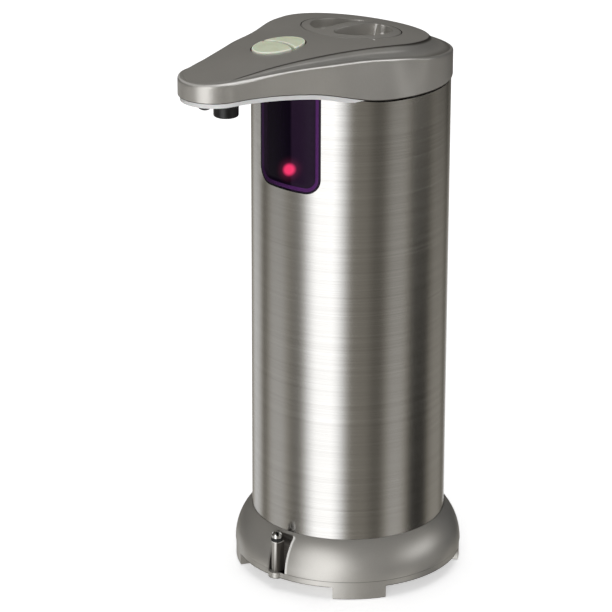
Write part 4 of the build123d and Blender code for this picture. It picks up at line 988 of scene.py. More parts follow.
def keyHalf(front, inset):
    # one half of the oval: its outer arc and the curved split line, each pulled in by inset
    radius = (keys["halfWide"] ** 2 + keys["splitRise"] ** 2) / (2 * keys["splitRise"])
    centre = keys["split"] + radius
    halfGap = keys["splitGap"] / 2 + inset
    split = radius - halfGap if front else radius + halfGap
    wide, long = keys["halfWide"] - inset, keys["halfLong"] - inset
    turn = np.linspace(-math.pi, math.pi, keys["finePlaces"])
    oval = np.column_stack([wide * np.sin(turn), keys["middle"] + long * np.cos(turn)])
    far = np.hypot(oval[:, 0], oval[:, 1] - centre)
    inside = far < split if front else far > split
    kept = oval[inside]
    if not front:
        # the oval's rear stretch wraps past the start of the list
        start = np.argmax(~inside)
        kept = np.concatenate([oval[start:][inside[start:]], oval[:start][inside[:start]]])
    ends = kept[[0, -1]]
    angles = np.arctan2(ends[:, 0], centre - ends[:, 1])
    line = np.linspace(angles[1], angles[0], keys["splitPlaces"])[1:-1]
    splitLine = np.column_stack([split * np.sin(line), centre - split * np.cos(line)])
    loop = np.concatenate([kept, splitLine])
    # even spacing along the whole loop
    closed = np.concatenate([loop, loop[:1]])
    lengths = np.concatenate([[0], np.cumsum(np.linalg.norm(np.diff(closed, axis=0), axis=1))])
    marks = np.linspace(0, lengths[-1], keys["around"], endpoint=False)
    return np.column_stack([np.interp(marks, lengths, closed[:, 0]),
                            np.interp(marks, lengths, closed[:, 1])])


def keyTop(x, forward):
    # the keys stand a little over the deck and follow its curve
    return deckTop(x, forward) + keys["proud"]


def buildKey(name, front):
    # loops from the flange up to the rounded edge, which is marked for its painted highlight, and
    # the top
    shape = Shape()
    edge = keys["edge"]
    base = keyHalf(front, 0.0)
    rows = [withHeight(base, keys["flangeZ"]), withHeight(base, keys["lipZ"])]
    marks = [0.0, 0.0]
    for angle in quarterTurn(8):
        plan = keyHalf(front, edge * (1 - math.cos(angle)))
        rows.append(laidOn(plan, keyTop, edge * (1 - math.sin(angle))))
        marks.append(1.0)
    rows.append(laidOn(keyHalf(front, edge + keys["rimWide"]), keyTop))
    marks.append(0.0)
    shape.grid(rows, mark=np.array(marks))
    shape.sheet([rows[-1]], keyTop, keys["spacing"])
    shape.sheet([rows[0]], levelAt(keys["flangeZ"]), keys["flangeSpacing"])
    # each key's node and body have the same name
    node = "key_minus" if front else "key_plus"
    makePiece(name, shape, node, "green_silicone", [node], markName="rim")


buildKey("keyMinus", True)
buildKey("keyPlus", False)


# steel sleeve with its window

sleeve = {
    "radius": 33.0, "wall": 0.6, "bottomZ": 11.0, "topZ": 181.5, "coverGap": 0.6, "around": 240,
    "windowHalf": 12.95, "windowZ": 141.3, "windowTopZ": 183.0, "corner": 5.5,
    "cornerPlaces": 12, "sidePlaces": 30, "basePlaces": 14,
    # plain strip on each side of the window, and the distance between its inner points
    "strip": 3.0, "spacing": 2.2,
}


def windowLoop(grow, top):
    # U-shaped opening in the flat front view: sides, rounded lower corners, open at the top
    half, low = sleeve["windowHalf"] + grow, sleeve["windowZ"] - grow
    corner = sleeve["corner"] + grow
    turn = quarterTurn(sleeve["cornerPlaces"])
    right = np.column_stack([half - corner + corner * np.cos(turn),
                             low + corner - corner * np.sin(turn)])
    left = (right * [-1, 1])[::-1]
    sides = np.linspace(top, low + corner, sleeve["sidePlaces"])[:-1]
    base = np.linspace(half - corner, corner - half, sleeve["basePlaces"])[1:-1]
    return np.concatenate([
        np.column_stack([np.full(len(sides), half), sides]), right,
        np.column_stack([base, np.full(len(base), low)]), left,
        np.column_stack([np.full(len(sides), -half), sides[::-1]])])


def wrapAt(loop, radius):
    # a flat front-view point lies on the cylinder straight behind it: forward is the root of the
    # squared radius less the squared x
    return np.column_stack([loop[:, 0], np.sqrt(radius ** 2 - loop[:, 0] ** 2), loop[:, 1]])


def sleeveTop(forward):
    # the tube ends just inside the white cover
    return np.minimum(rimBottom(forward) - sleeve["coverGap"], sleeve["topZ"])


def frontTop(x, radius):
    # height of the tube's top straight behind x in the front view
    return sleeveTop(np.sqrt(radius ** 2 - x ** 2))


def buildSleeve():
    # a tube from one side of the window round to the other, and a flat-filled strip round the
    # window that is wrapped on the same circle; both for the outer and the inner face
    shape = Shape()
    radius, low = sleeve["radius"], sleeve["bottomZ"]
    halfTurn = math.asin(sleeve["windowHalf"] / radius)
    start = math.asin((sleeve["windowHalf"] + sleeve["strip"]) / radius)
    turn = np.linspace(start, 2 * math.pi - start, sleeve["around"])
    levels = np.linspace(0, 1, 40)
    circle = np.column_stack([np.sin(turn), np.cos(turn)])
    top = sleeveTop(circle[:, 1] * radius)
    for size in (radius, radius - sleeve["wall"]):
        rows = [withHeight(circle * size, low + (top - low) * share) for share in levels]
        shape.grid(rows, closed=False)
    # strip round the window: from the window's outline to a plain rectangle, down to the base
    window = windowLoop(0.0, sleeve["windowTopZ"])
    window[:, 1] = np.minimum(window[:, 1], frontTop(window[:, 0], radius))
    side = radius * math.sin(start)
    sideTop = float(sleeveTop(radius * math.cos(start)))
    edgeZ = low + (sideTop - low) * levels
    bottomX = radius * np.sin(np.linspace(-start, start, 25))[1:-1]
    topX = radius * np.sin(np.linspace(halfTurn, start, 4))[1:-1]
    topZ = frontTop(topX, radius)
    outline = np.concatenate([
        np.column_stack([np.full(len(levels), side), edgeZ]),
        np.column_stack([topX, topZ])[::-1],
        window,
        np.column_stack([-topX, topZ]),
        np.column_stack([np.full(len(levels), -side), edgeZ[::-1]]),
        np.column_stack([bottomX, np.full(len(bottomX), low)])])
    points, faces = fillBetween([outline], sleeve["spacing"])
    for size in (radius, radius - sleeve["wall"]):
        shape.put(wrapAt(points * [size / radius, 1], size), faces)
    # rims of the window, the bottom and the top join the two faces, point by point
    inwards = (radius - sleeve["wall"]) / radius
    shrink = np.array([inwards, inwards, 1])
    outer = wrapAt(window, radius)
    bottomRim = np.concatenate([withHeight(circle * radius, low),
                                wrapAt(withHeight(bottomX, low), radius)])
    topRim = np.concatenate([outer[:1], wrapAt(withHeight(topX, topZ), radius),
                             withHeight(circle * radius, top),
                             wrapAt(withHeight(-topX, topZ), radius)[::-1], outer[-1:]])
    shape.grid([outer, outer * shrink], closed=False)
    shape.grid([topRim, topRim * shrink], closed=False)
    shape.grid([bottomRim, bottomRim * shrink])
    makePiece("steelSleeve", shape, "dispenser", "brushed_steel", ["steel_sleeve"])


buildSleeve()


# violet pane

pane = {
    "radius": 33.0, "topZ": 182.4, "gap": 0.12, "sunk": 0.35, "bandGap": 0.62, "band": 1.1,
    "halfDrop": 0.10, "drop": 0.25, "backDepth": 1.7, "topPlaces": 16,
    "frontSpacing": 1.6, "backSpacing": 3.0,
}


def paneFace(loop, spacing, radius):
    # the loop's inside up to a straight top, filled flat and wrapped at the radius; the places of
    # the straight top are returned too, from the loop's end to its start
    topX = np.linspace(loop[-1, 0], loop[0, 0], pane["topPlaces"])[1:-1]
    top = withHeight(topX, pane["topZ"])
    points, faces = fillBetween([np.concatenate([loop, top])], spacing)
    return wrapAt(points, radius), faces, wrapAt(top, radius)


def buildPane():
    # rows of the opening's outline, each smaller than the last: up the edge, over the flat rim,
    # down the bevel band; then the sunk face, the back and the flat top
    shape = Shape()
    radius = pane["radius"]
    gap, start = pane["gap"], pane["gap"] + pane["bandGap"]
    end = start + pane["band"]
    # inset from the opening, height over the steel, and 1 on the bevel band, which is painted as a
    # highlight
    steps = [(gap, -pane["sunk"], 0.0), (gap + 0.1, -0.02, 0.0), (start, 0.0, 0.0),
             (start + 0.05, 0.0, 1.0), (start + pane["band"] / 2, -pane["halfDrop"], 1.0),
             (end, -pane["drop"], 1.0), (end + 0.1, -pane["drop"] - 0.02, 0.0)]
    insets, heights, marks = zip(*steps)
    loops = [windowLoop(-inset, pane["topZ"]) for inset in insets]
    rows = [wrapAt(loop, radius + height) for loop, height in zip(loops, heights)]
    shape.grid(rows, closed=False, mark=np.array(marks))
    points, faces, frontEdge = paneFace(loops[-1], pane["frontSpacing"], radius + heights[-1])
    shape.put(points, faces)
    # back of the pane, and its edge
    deep = radius - pane["backDepth"]
    points, faces, backEdge = paneFace(loops[0], pane["backSpacing"], deep)
    shape.put(points, faces)
    back = wrapAt(loops[0], deep)
    shape.grid([rows[0], back], closed=False)
    # top edge, one flat face between the front's profile and the back
    profile = np.array(rows)
    shape.lid(np.concatenate([profile[:, 0], frontEdge[::-1], profile[::-1, -1], back[-1:],
                              backEdge, back[:1]]))
    makePiece("windowPane", shape, "dispenser", "violet_window", ["window_panel"],
              markName="band")


buildPane()


# base ring with the front notch and the screw post

ring = {
    "outer": 38.8, "flare": 18.6, "bottomZ": 6.3, "sleeveRadius": 33.08, "bore": 31.0,
    "ledgeZ": 11.0, "ledgeStep": 0.4, "foot": 0.3, "around": 260,
    "notchLeft": 2.3, "notchRight": 4.0, "notchBack": 35.6, "pocketBack": 33.6, "notchTop": 19.0,
    "edge": 0.95, "leftEdge": 0.2, "edgeFades": 0.5, "edgeLeast": 0.001,
    "postForward": 37.3, "postRadius": 1.8, "postTop": 17.2, "postEdge": 0.35, "postSink": 0.1,
    # places along the flare, the notch's edge, the lip, over the notch and round the post
    "arcPlaces": 40, "edgePlaces": 7, "lipPlaces": 6, "overNotch": 11, "postPlaces": 33,
    # painted tones of the notch: shade at the deep ends of its walls, a highlight on the right
    # edge (start and gain), shade on the left edge, back wall and roof; and shade at the ring's
    # foot
    "rightDeep": [-0.8, -0.7], "leftDeep": [-0.8, -0.8], "edgeHighlight": (0.5, 1.5),
    "leftEdgeTones": (-0.5, -0.9), "backTone": -0.7, "roofTone": -0.5, "footTone": -0.9,
    # painted tones of the post: shade on its right flank and the shares of the radius over which
    # it darkens, a highlight on its top edge (start and what the flank takes), shade on its foot
    # and top
    "flankTone": -0.9, "flankFades": (0.4, 0.8), "postHighlight": (0.9, 1.2),
    "postFootTone": -0.8, "postTopTone": -0.6,
}


def notchSide(half, edge, radius, z, outward, upward, turns):
    # wall of the notch from its back to the ring's face, with a rounded edge that fades out under
    # the notch's top; gives the places and the turn at which the ring's face goes on
    left = float(smoothShare(np.array(ring["notchTop"] - z), 0.0, ring["edgeFades"]))
    edge = edge * left + ring["edgeLeast"]
    x = half + edge - edge * np.sin(turns)
    sink = edge * (1 - np.cos(turns))
    plan = np.column_stack([x, np.sqrt((radius - outward * sink) ** 2 - x ** 2),
                            z - max(upward, 0.0) * sink])
    back = ring["notchBack"] if z < ring["postTop"] else ring["pocketBack"]
    deep = np.array([[half, back, plan[0, 2]], [half, (back + plan[0, 1]) / 2, plan[0, 2]]])
    return np.concatenate([deep, plan]), math.asin((half + edge) / radius)


def buildRing():
    # one row for each place of the profile: right wall of the notch, round the ring, left wall
    shape = Shape()
    middle = ring["outer"] - ring["flare"]
    last = math.acos((ring["sleeveRadius"] - middle) / ring["flare"])
    topTurn = math.asin((ring["notchTop"] - ring["bottomZ"]) / ring["flare"])
    foot = ring["foot"]
    # profile (radius, z, normal): a small rounded foot, then one flare arc up to the notch's top
    lower = [(ring["outer"] - foot * (1 - math.sin(a)), ring["bottomZ"] + foot * (1 - math.cos(a)),
              math.sin(a), -math.cos(a)) for a in quarterTurn(4)[:-1]]
    # two close rows at the shelf's height let the notch step back there
    shelfTurn = math.asin((ring["postTop"] - ring["bottomZ"]) / ring["flare"])
    turns = np.sort(np.append(np.linspace(foot / ring["flare"], topTurn,
                                          ring["arcPlaces"]),
                              [shelfTurn - 0.0005, shelfTurn + 0.0005]))
    arc = [(middle + ring["flare"] * math.cos(a), ring["bottomZ"] + ring["flare"] * math.sin(a),
            math.cos(a), math.sin(a)) for a in turns]
    profile = np.array(lower + arc)
    rows = []
    left, right = ring["notchLeft"], ring["notchRight"]
    roundTurns = np.linspace(math.pi / 2, 0, ring["edgePlaces"])

    for radius, z, outward, upward in profile:
        rightSide, rightAngle = notchSide(right, ring["edge"], radius, z, outward, upward,
                                          roundTurns)
        leftSide, leftAngle = notchSide(left, ring["leftEdge"], radius, z, outward, upward,
                                        roundTurns)
        around = np.linspace(rightAngle, 2 * math.pi - leftAngle, ring["around"])[1:-1]
        sweep = np.column_stack([radius * np.sin(around), radius * np.cos(around),
                                 np.full(len(around), z)])
        rows.append(np.concatenate([rightSide, sweep, leftSide[::-1] * [-1, 1, 1]]))
    # the notch's right edge gets a painted highlight, its walls painted shade
    start, gain = ring["edgeHighlight"]
    edgeTone = np.minimum(1.0, start + gain * np.cos(roundTurns))
    leftTone = np.linspace(*ring["leftEdgeTones"], len(roundTurns))
    rowTone = np.concatenate([ring["rightDeep"], edgeTone, np.zeros(ring["around"] - 2),
                              leftTone, ring["leftDeep"]])
    toneGrid = np.tile(rowTone, (len(rows), 1))
    # the ring's foot is painted dark, as shade where it closes on the plate
    toneGrid[:3] = ring["footTone"]
    shape.grid(rows, closed=False, mark=toneGrid)
    # narrow lip above the notch, unbroken all round, then down inside to the ledge and the bore
    inner = np.linspace(topTurn, last, ring["lipPlaces"])
    rows = np.array(rows)
    face = rows[-1, 2:-2]
    faceTurn = np.arctan2(face[:, 0], face[:, 1])
    # places over the notch, which the rows below don't have
    added = ring["overNotch"]
    overNotch = np.linspace(faceTurn[-1], faceTurn[0], added + 2)[1:-1]
    turn = np.concatenate([overNotch, faceTurn])
    circle = np.column_stack([np.sin(turn), np.cos(turn)])
    lips = [withHeight(circle * (middle + ring["flare"] * math.cos(a)),
                       ring["bottomZ"] + ring["flare"] * math.sin(a)) for a in inner]
    lips[0][added:] = face
    topZ = lips[-1][0, 2]
    for radius, heights in ((ring["sleeveRadius"], (topZ - ring["ledgeStep"], ring["ledgeZ"])),
                            (ring["bore"], (ring["ledgeZ"], ring["bottomZ"]))):
        lips += [withHeight(circle * radius, z) for z in heights]
    shape.grid(lips)
    # underside of the ring, from the bore to the foot, cut by the notch
    bore = lips[-1]
    shape.grid([bore[added:], rows[0, 2:-2]], closed=False)
    shape.lid(np.concatenate([bore[-1:], bore[:added + 1], rows[0, 2::-1], rows[0, -1:-4:-1]]))
    # notch: back wall with its shelf, then the roof, both painted dark as shade
    shape.grid(rows[:, [-1, 0]], closed=False, mark=ring["backTone"])
    shape.lid(np.concatenate([lips[0][-1:], lips[0][:added + 1], rows[-1, 1::-1],
                              rows[-1, -1:-3:-1]]), ring["roofTone"])
    makePiece("baseRing", shape, "dispenser", "satin_nickel_paint", ["base_ring"],
              markName="tone")


def buildPost():
    # half-round post that takes the screw, with a softly rounded top and a web to the back wall
    post = Shape()
    radius, forward, edge = ring["postRadius"], ring["postForward"], ring["postEdge"]
    turn = np.linspace(-math.pi / 2, math.pi / 2, ring["postPlaces"])
    front = np.column_stack([radius * np.sin(turn), radius * np.cos(turn)])
    web = ring["notchBack"] - forward - ring["postSink"]
    outline = np.concatenate([front, [[radius, web], [-radius, web]]])
    levels = [(1.0, ring["bottomZ"]), (1.0, ring["postTop"] - edge)]
    levels += [(1 - edge * (1 - math.cos(a)) / radius, ring["postTop"] - edge * (1 - math.sin(a)))
               for a in quarterTurn(5)[1:]]
    rows = [withHeight(outline * scale + [0, forward], z) for scale, z in levels]
    # its right flank is painted dark as the notch's shade, its top edge gets a painted highlight
    fades = [share * radius for share in ring["flankFades"]]
    shade = ring["flankTone"] * smoothShare(outline[:, 0], *fades)
    shades = np.tile(shade, (len(rows), 1))
    start, taken = ring["postHighlight"]
    shades[-4:-1] = np.maximum(start + shade * taken, 0)
    post.grid(rows, mark=shades)
    # foot and top painted dark as shade
    post.lid(rows[0], ring["postFootTone"])
    post.lid(rows[-1], ring["postTopTone"])
    makePiece("screwPost", post, "dispenser", "satin_nickel_paint", markName="tone")


buildRing()
buildPost()


# CAD shapes that only need soft edges

plate = {
    # the feet's top, and the bearings and half width of the four feet in degrees
    "footZ": 4.3, "footAngles": (46, 134, 226, 314), "footHalf": 13.6,
    # painted shade along the lower edges, and up to what height
    "shade": -0.9, "shadeHigh": 0.45,
}
# a dihedral above this angle in degrees counts as an edge
sharpAngle = 35.0


def plateTone(points):
    # painted shade along the lower edges: the soles, the plate's rim between the feet, the feet's
    # sides
    x, y, z = points[:, 0] * 1000, points[:, 1] * 1000 - bodyAxisY, points[:, 2] * 1000
    turn = np.degrees(np.arctan2(y, x)) % 360
    off = np.abs(turn[:, None] - np.array(plate["footAngles"])).min(axis=1)
    between = (off > plate["footHalf"] - 0.4) & (np.abs(z - plate["footZ"]) < 0.1)
    side = (np.abs(off - plate["footHalf"]) < 0.5) & (z < plate["footZ"] + 0.1)
    sole = z < plate["shadeHigh"] * 0.6
    return np.where(between | side | sole, plate["shade"], 0.0)


def cornerPlaces(mesh):
    # the mesh's corners as rows of x, y, z in metres
    places = np.zeros(len(mesh.vertices) * 3)
    mesh.vertices.foreach_get("co", places)
    return places.reshape(-1, 3)


def softCopy(node, name, body, slot, width, cuts=(), toneOf=None):
    # a merged copy of a CAD node with rolled edges; cuts are levels that get a row of corners
    source = frame["nodes"][node]
    mesh = source.data.copy()
    mesh.transform(source.matrix_world)
    work = bmesh.new()
    work.from_mesh(mesh)
    bmesh.ops.remove_doubles(work, verts=work.verts, dist=1e-6)
    bmesh.ops.dissolve_limit(work, angle_limit=math.radians(0.5), verts=work.verts,
                             edges=work.edges)
    for height in cuts:
        everything = list(work.verts) + list(work.edges) + list(work.faces)
        bmesh.ops.bisect_plane(work, geom=everything, dist=1e-7, plane_co=(0, 0, height * 0.001),
                               plane_no=(0, 0, 1))
    work.to_mesh(mesh)
    work.free()
    mesh.name = name
    if toneOf:
        layer = mesh.attributes.new("tone", "FLOAT", "POINT")
        layer.data.foreach_set("value", toneOf(cornerPlaces(mesh)).astype(np.float32))
    piece = bpy.data.objects.new(name, mesh)
    bpy.context.scene.collection.objects.link(piece)
    mesh.materials.clear()
    mesh.materials.append(finishes[slot])
    mesh.shade_smooth()
    mesh.set_sharp_from_angle(angle=math.radians(sharpAngle))
    bevel = piece.modifiers.new("softEdges", "BEVEL")
    bevel.width = width
    bevel.segments = 3
    bevel.limit_method = "ANGLE"
    bevel.angle_limit = math.radians(sharpAngle)
    bevel.use_clamp_overlap = True
    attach(piece, body)
    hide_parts(node)
    print("piece", name, len(mesh.polygons), "faces before its bevel")
    return piece


softCopy("base_plate", "footPlate", "foot_plate", "satin_nickel_paint", 0.0003,
         cuts=(plate["shadeHigh"], plate["footZ"] + plate["shadeHigh"]), toneOf=plateTone)


# clamp screw, its washer, the sensor's dome and the white cover

screw = {
    "forward": 37.3, "headRadius": 1.72, "headZ": 18.35, "topZ": 20.6, "around": 192,
    "crownBase": 0.42, "crownPower": 2.4, "headEdge": 0.15,
    # evenly spaced circles on the crown up to a share of its radius, then closer ones that stand
    # at the sines of angles from edgeFrom to a right angle
    "crownCircles": 34, "crownShare": 0.9, "edgeCircles": 9, "edgeFrom": 1.17,
    "slotHalf": 0.40, "slotSoft": 0.07, "slotReach": 1.62, "slotDepth": 1.2, "turn": 40.0,
    "shankRadius": 0.95, "tipZ": 4.8, "tipEdge": 0.4,
    "washerRadius": 1.95, "washerHole": 1.0, "washerLow": 17.2, "washerEdge": 0.35,
}
dome = {
    "forward": 71.4, "radius": 2.9, "seatZ": 180.45, "lowZ": 177.75, "stem": 1.6, "topZ": 184.6,
}
cover = {
    # what the cover loses at its flank's rear end, along the spout and out from the steel
    "taper": 1.4, "taperAlong": (19, 30), "taperOut": (31.5, 33.2), "softEdge": 0.00015,
}


def turnedPiece(name, profile, forward, body, slot, replaced):
    # a surface of revolution about the upright line at (0, forward): a circle for each radius and
    # z of the profile
    shape = Shape()
    plan = circleLoop(1.0, 96)
    shape.grid([withHeight(plan * radius + [0, forward], z) for radius, z in profile])
    makePiece(name, shape, body, slot, replaced, smoothAngle=32.0)


def crossSlot(flat):
    # 1 inside the cross recess and 0 outside: the larger of its two arms, each a product of soft
    # steps across its width and its length, on axes turned with the screw
    turn = math.radians(screw["turn"])
    u = np.abs(flat[:, 0] * math.cos(turn) + flat[:, 1] * math.sin(turn))
    v = np.abs(flat[:, 1] * math.cos(turn) - flat[:, 0] * math.sin(turn))
    soft, half, reach = screw["slotSoft"], screw["slotHalf"], screw["slotReach"]

    def within(value, limit):
        return 1 - smoothShare(value, limit - soft, limit + soft)

    return np.maximum(within(u, half) * within(v, reach), within(v, half) * within(u, reach))


def buildScrew():
    # domed head with a cross recess pressed into it as a height field, then the shank
    shape = Shape()
    plan = circleLoop(1.0, screw["around"])
    big, small, centre = screw["headRadius"], screw["shankRadius"], [0, screw["forward"]]
    headZ, tipZ, base = screw["headZ"], screw["tipZ"], screw["crownBase"]
    floorZ = screw["topZ"] - screw["slotDepth"]
    rows, tones = [], []
    # circles that stand closer towards the head's edge
    onCrown = np.linspace(0, screw["crownShare"], screw["crownCircles"])
    nearEdge = np.sin(np.linspace(screw["edgeFrom"], math.pi / 2, screw["edgeCircles"]))
    for share in np.concatenate([onCrown, nearEdge]):
        flat = plan * share * big
        bulge = math.sqrt(max(0.0, 1 - share ** screw["crownPower"]))
        crown = headZ + (screw["topZ"] - headZ) * (base + (1 - base) * bulge)
        slot = crossSlot(flat)
        rows.append(withHeight(flat + centre, crown - slot * np.maximum(crown - floorZ, 0)))
        # the cross recess is painted dark as shade
        tones.append(-1.0 * slot)
    edge, point = screw["headEdge"], screw["tipEdge"]
    for radius, z in ((big, headZ + edge), (big - edge, headZ), (small, headZ),
                      (small, tipZ + point), (small - point, tipZ), (0.0, tipZ)):
        rows.append(withHeight(plan * radius + centre, z))
        tones.append(np.zeros(len(plan)))
    shape.grid(rows, mark=np.stack(tones))
    makePiece("clampScrew", shape, "screw", "bright_screw", ["base_screw"], markName="tone")


def buildWasher():
    # ring with a rounded outer edge
    big, hole, edge = screw["washerRadius"], screw["washerHole"], screw["washerEdge"]
    low, high = screw["washerLow"], screw["headZ"]
    bend = quarterTurn(5)
    profile = [(hole, low)]
    profile += [(big - edge + edge * math.sin(a), low + edge * (1 - math.cos(a))) for a in bend]
    profile += [(big - edge + edge * math.cos(a), high - edge + edge * math.sin(a)) for a in bend]
    profile += [(hole, high), (hole, low)]
    turnedPiece("screwWasher", profile, screw["forward"], "screw_washer", "black_rubber",
                ["screw_grommet"])


def buildDome():
    # flattened half ball that hangs from the cover, with its stem up to the board
    bend = quarterTurn(17)
    deep = dome["seatZ"] - dome["lowZ"]
    profile = [(dome["radius"] * math.sin(a), dome["seatZ"] - deep * math.cos(a)) for a in bend]
    profile += [(dome["stem"], dome["seatZ"]), (dome["stem"], dome["topZ"]), (0.0, dome["topZ"])]
    turnedPiece("sensorDome", profile, dome["forward"], "dispenser", "black_plastic",
                ["sensor_lens"])


def buildCover():
    # a merged copy of the CAD's white cover, raised by the wall's lower edge in this scene less
    # the CAD's; outside the steel it also tapers off towards the flank's rear end
    piece = softCopy("under_cover", "whiteCover", "dispenser", "white_plastic", cover["softEdge"])
    places = cornerPlaces(piece.data)
    forward = bodyAxisY - places[:, 1] * 1000
    rise = rimBottom(forward) - cadBottom(forward)
    out = np.hypot(places[:, 0] * 1000, forward)
    rise = rise + (cover["taper"] * (1 - smoothShare(forward, *cover["taperAlong"]))
                   * smoothShare(out, *cover["taperOut"]))
    places[:, 2] += rise * 0.001
    piece.data.vertices.foreach_set("co", places.ravel())


buildScrew()
buildWasher()
buildDome()
buildCover()


# floor, light and camera

studio = {
    "floorColour": rgb(0.90, 0.90, 0.90), "floorReach": 6.0,
    # the floor's glow near the piece and far out, and the distances between which it grows
    "floorGlow": 0.47, "floorFar": 0.85, "farStart": 0.12, "farEnd": 1.2,
    "white": 1.0, "diffuseLevel": 0.26, "base": 0.13, "low": 0.07,
    "highLevel": 0.12, "zenith": 0.08,
    # heights between which the horizon dims, the belt starts and the zenith starts
    "horizonFades": (-0.27, -0.12), "beltRises": (0.02, 0.3), "zenithRises": (0.4, 0.75),
    # height in metres of the point that the lamps face
    "lampAim": 0.1,
    # a dim panel's tint, and the levels between which it goes over to white
    "dimTint": rgb(1.0, 0.93, 0.80), "tintLow": 0.15, "tintHigh": 0.8,
    # bearing from the camera's side, half width, strength, heights between which it fades out
    "bands": [(-29.5, 27.0, 1.42, 0.5, 0.84), (-95.0, 22.0, 0.44, -0.34, -0.26),
              (12.0, 16.0, 0.10, -0.02, 0.32), (58.0, 18.0, 0.38, -0.36, -0.29),
              (128.0, 22.0, 0.20, -0.34, -0.26), (-142.0, 20.0, 0.55, -0.33, -0.25),
              (176.0, 20.0, 0.65, -0.36, -0.28)],
    # panels that start at one height and end at another: light on edges, head and ring
    "strips": [(80.0, 26.0, 1.1, 0.0, 0.14, 0.3, 0.5),
               (78.0, 30.0, 0.2, -0.315, -0.285, -0.24, -0.18),
               (-52.0, 26.0, 0.5, -0.315, -0.285, -0.20, -0.12),
               (-12.0, 16.0, 0.55, -0.31, -0.28, 0.3, 0.6)],
    # a share of the half width that a panel or flag keeps whole before it fades
    "panelCore": 0.25, "flagCore": 0.3,
    # dark flags: bearing, half width, darkest share, and the heights over which the low one
    # fades out and the head's one starts
    "lowFlag": (92.0, 16.0, 0.03, -0.32, -0.28),
    "headFlag": (138.0, 30.0, 0.1, -0.32, -0.28),
}
lamps = {
    # bearing and elevation in degrees, distance, size in metres, watts
    "keyPanel": (-12.0, 22.0, 1.1, (0.7, 0.9), 1.5),
    "sidePanel": (-4.0, 4.0, 1.2, (0.5, 0.6), 8.0),
    "topPanel": (180.0, 80.0, 1.1, (1.1, 1.1), 7.0),
}
view = {
    "azimuth": 39.904, "height": 0.503116, "distance": 1.074896, "aimSide": -0.014658,
    "aimHeight": 0.091146, "roll": 0.137, "focal": 3406.501, "frameWidth": 612,
}


def buildFloor():
    # a plain square; the camera sees a glow that eases up with the distance from the piece
    mesh = bpy.data.meshes.new("floor")
    reach = studio["floorReach"]
    mesh.from_pydata([(-reach, -reach, 0), (reach, -reach, 0), (reach, reach, 0),
                      (-reach, reach, 0)], [], [(0, 1, 2, 3)])
    floor = bpy.data.objects.new("floor", mesh)
    bpy.context.scene.collection.objects.link(floor)
    material, mix = newMaterial("paleFloor")
    camera = mix.add("ShaderNodeLightPath").beside("Is Camera Ray")
    matt = mix.add("ShaderNodeBsdfDiffuse", {}, {"Color": studio["floorColour"]})
    x = mix.add("ShaderNodeSeparateXYZ", {}, {0: mix.place()})
    y = x.beside(1)
    far = ((x * x + y * y) ** 0.5).smooth(studio["farStart"], studio["farEnd"])
    lift = far * (studio["floorFar"] - studio["floorGlow"]) + studio["floorGlow"]
    glow = mix.add("ShaderNodeEmission", {}, {"Color": rgb(1, 1, 1), "Strength": camera * lift})
    both = mix.add("ShaderNodeAddShader", {}, {0: matt, 1: glow})
    mix.add("ShaderNodeOutputMaterial", {}, {"Surface": both})
    mesh.materials.append(material)
    floor.visible_glossy = False


def buildWorld():
    # white to the camera; polished metal sees soft upright panels and two dark flags around it
    world = bpy.data.worlds.new("studio")
    world.use_nodes = True
    bpy.context.scene.world = world
    mix = Recipe(world.node_tree)
    rays = mix.add("ShaderNodeLightPath")
    camera, glossy, clear = (rays.beside(f"Is {kind} Ray")
                             for kind in ("Camera", "Glossy", "Transmission"))
    x = mix.add("ShaderNodeSeparateXYZ", {}, {0: mix.add("ShaderNodeTexCoord", output=0)})
    y, z = x.beside(1), x.beside(2)
    # azimuth in degrees round the object, 0 where the light comes from the camera's side
    bearing = x.maths("ARCTAN2", x, y * -1.0) * (180 / math.pi) - view["azimuth"]

    def faceOn(middle, width, core):
        # 1 round the middle bearing, easing to 0 over one half width beyond the core
        turned = bearing - (middle + 540.0)
        away = turned.maths("ABSOLUTE", turned.maths("FLOORED_MODULO", turned, 360.0) - 180.0)
        return 1.0 - away.smooth(width * core, width * (core + 1))

    # a dim horizon, a paler belt above it and a dim zenith
    above, overhead = z.smooth(*studio["beltRises"]), z.smooth(*studio["zenithRises"])
    dimmed = z.smooth(*studio["horizonFades"])
    horizon = studio["base"] - dimmed * (studio["base"] - studio["low"])
    belt = studio["highLevel"] - overhead * (studio["highLevel"] - studio["zenith"])
    level = (1.0 - above) * horizon + above * belt
    for middle, width, strength, fadeLow, fadeHigh in studio["bands"]:
        panel = faceOn(middle, width, studio["panelCore"]) * strength
        level = level + panel * (1.0 - z.smooth(fadeLow, fadeHigh))
    for middle, width, strength, startLow, startHigh, endLow, endHigh in studio["strips"]:
        panel = faceOn(middle, width, studio["panelCore"]) * strength
        level = level + panel * z.smooth(startLow, startHigh) * (1.0 - z.smooth(endLow, endHigh))
    middle, width, dark, fadeLow, fadeHigh = studio["lowFlag"]
    hidden = faceOn(middle, width, studio["flagCore"]) * (1.0 - z.smooth(fadeLow, fadeHigh))
    level = level * (1.0 - hidden * (1.0 - dark))
    middle, width, dark, riseLow, riseHigh = studio["headFlag"]
    hidden = faceOn(middle, width, studio["flagCore"]) * z.smooth(riseLow, riseHigh)
    level = level * (1.0 - hidden * (1.0 - dark))
    seen = camera.maths("MAXIMUM", camera, clear)
    strength = (seen * studio["white"]
                + (1.0 - seen) * (glossy * level + (1.0 - glossy) * studio["diffuseLevel"]))
    warm = mix.blend(level.smooth(studio["tintLow"], studio["tintHigh"]), studio["dimTint"],
                     rgb(1, 1, 1))
    tint = mix.blend(glossy, rgb(1, 1, 1), warm)
    glow = mix.add("ShaderNodeBackground", {}, {"Color": tint, "Strength": strength})
    mix.add("ShaderNodeOutputWorld", {}, {"Surface": glow})


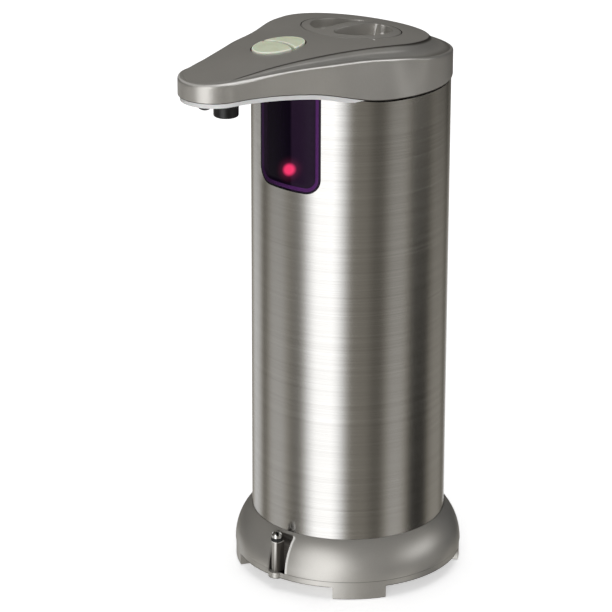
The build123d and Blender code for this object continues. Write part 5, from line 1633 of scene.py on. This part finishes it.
def addLamp(name, bearing, elevation, distance, size, power):
    # a panel on a sphere round the body's middle height, turned to face its centre
    aim = Vector((0, 0, studio["lampAim"]))
    angle, tilt = math.radians(bearing + view["azimuth"]), math.radians(elevation)
    place = Vector((math.sin(angle) * math.cos(tilt), -math.cos(angle) * math.cos(tilt),
                    math.sin(tilt))) * distance + aim
    lamp = bpy.data.lights.new(name, "AREA")
    lamp.shape = "RECTANGLE"
    lamp.size, lamp.size_y = size
    lamp.energy = power
    piece = bpy.data.objects.new(name, lamp)
    bpy.context.scene.collection.objects.link(piece)
    piece.visible_glossy = False
    facing = (aim - place).to_track_quat("-Z", "Y").to_matrix().to_4x4()
    piece.matrix_world = Matrix.Translation(place) @ facing


def buildCamera():
    # the eye stands at the view's azimuth, distance and height from the steel's axis and looks at
    # the aim, rolled a little; the lens is focal pixels over the frame's width, times the sensor
    angle = math.radians(view["azimuth"])
    right = Vector((math.cos(angle), math.sin(angle), 0))
    axis = Vector((0, bodyAxisY * 0.001, 0))
    eye = Vector((view["distance"] * math.sin(angle), -view["distance"] * math.cos(angle),
                  view["height"])) + axis
    aim = right * view["aimSide"] + Vector((0, 0, view["aimHeight"])) + axis
    ahead = (aim - eye).normalized()
    level = ahead.cross(Vector((0, 0, 1))).normalized()
    upright = level.cross(ahead)
    roll = math.radians(view["roll"])
    side = level * math.cos(roll) + upright * math.sin(roll)
    up = upright * math.cos(roll) - level * math.sin(roll)
    data = bpy.data.cameras.new("camera")
    data.sensor_width = 36.0
    data.lens = view["focal"] / view["frameWidth"] * data.sensor_width
    data.clip_start, data.clip_end = 0.05, 30.0
    camera = bpy.data.objects.new("camera", data)
    bpy.context.scene.collection.objects.link(camera)
    turn = Matrix((side, up, -ahead)).transposed().to_4x4()
    camera.matrix_world = Matrix.Translation(eye) @ turn
    bpy.context.scene.camera = camera


buildFloor()
buildWorld()
for name, values in lamps.items():
    addLamp(name, *values)
buildCamera()
bpy.context.scene.view_settings.view_transform = "Standard"
print("studio ready")
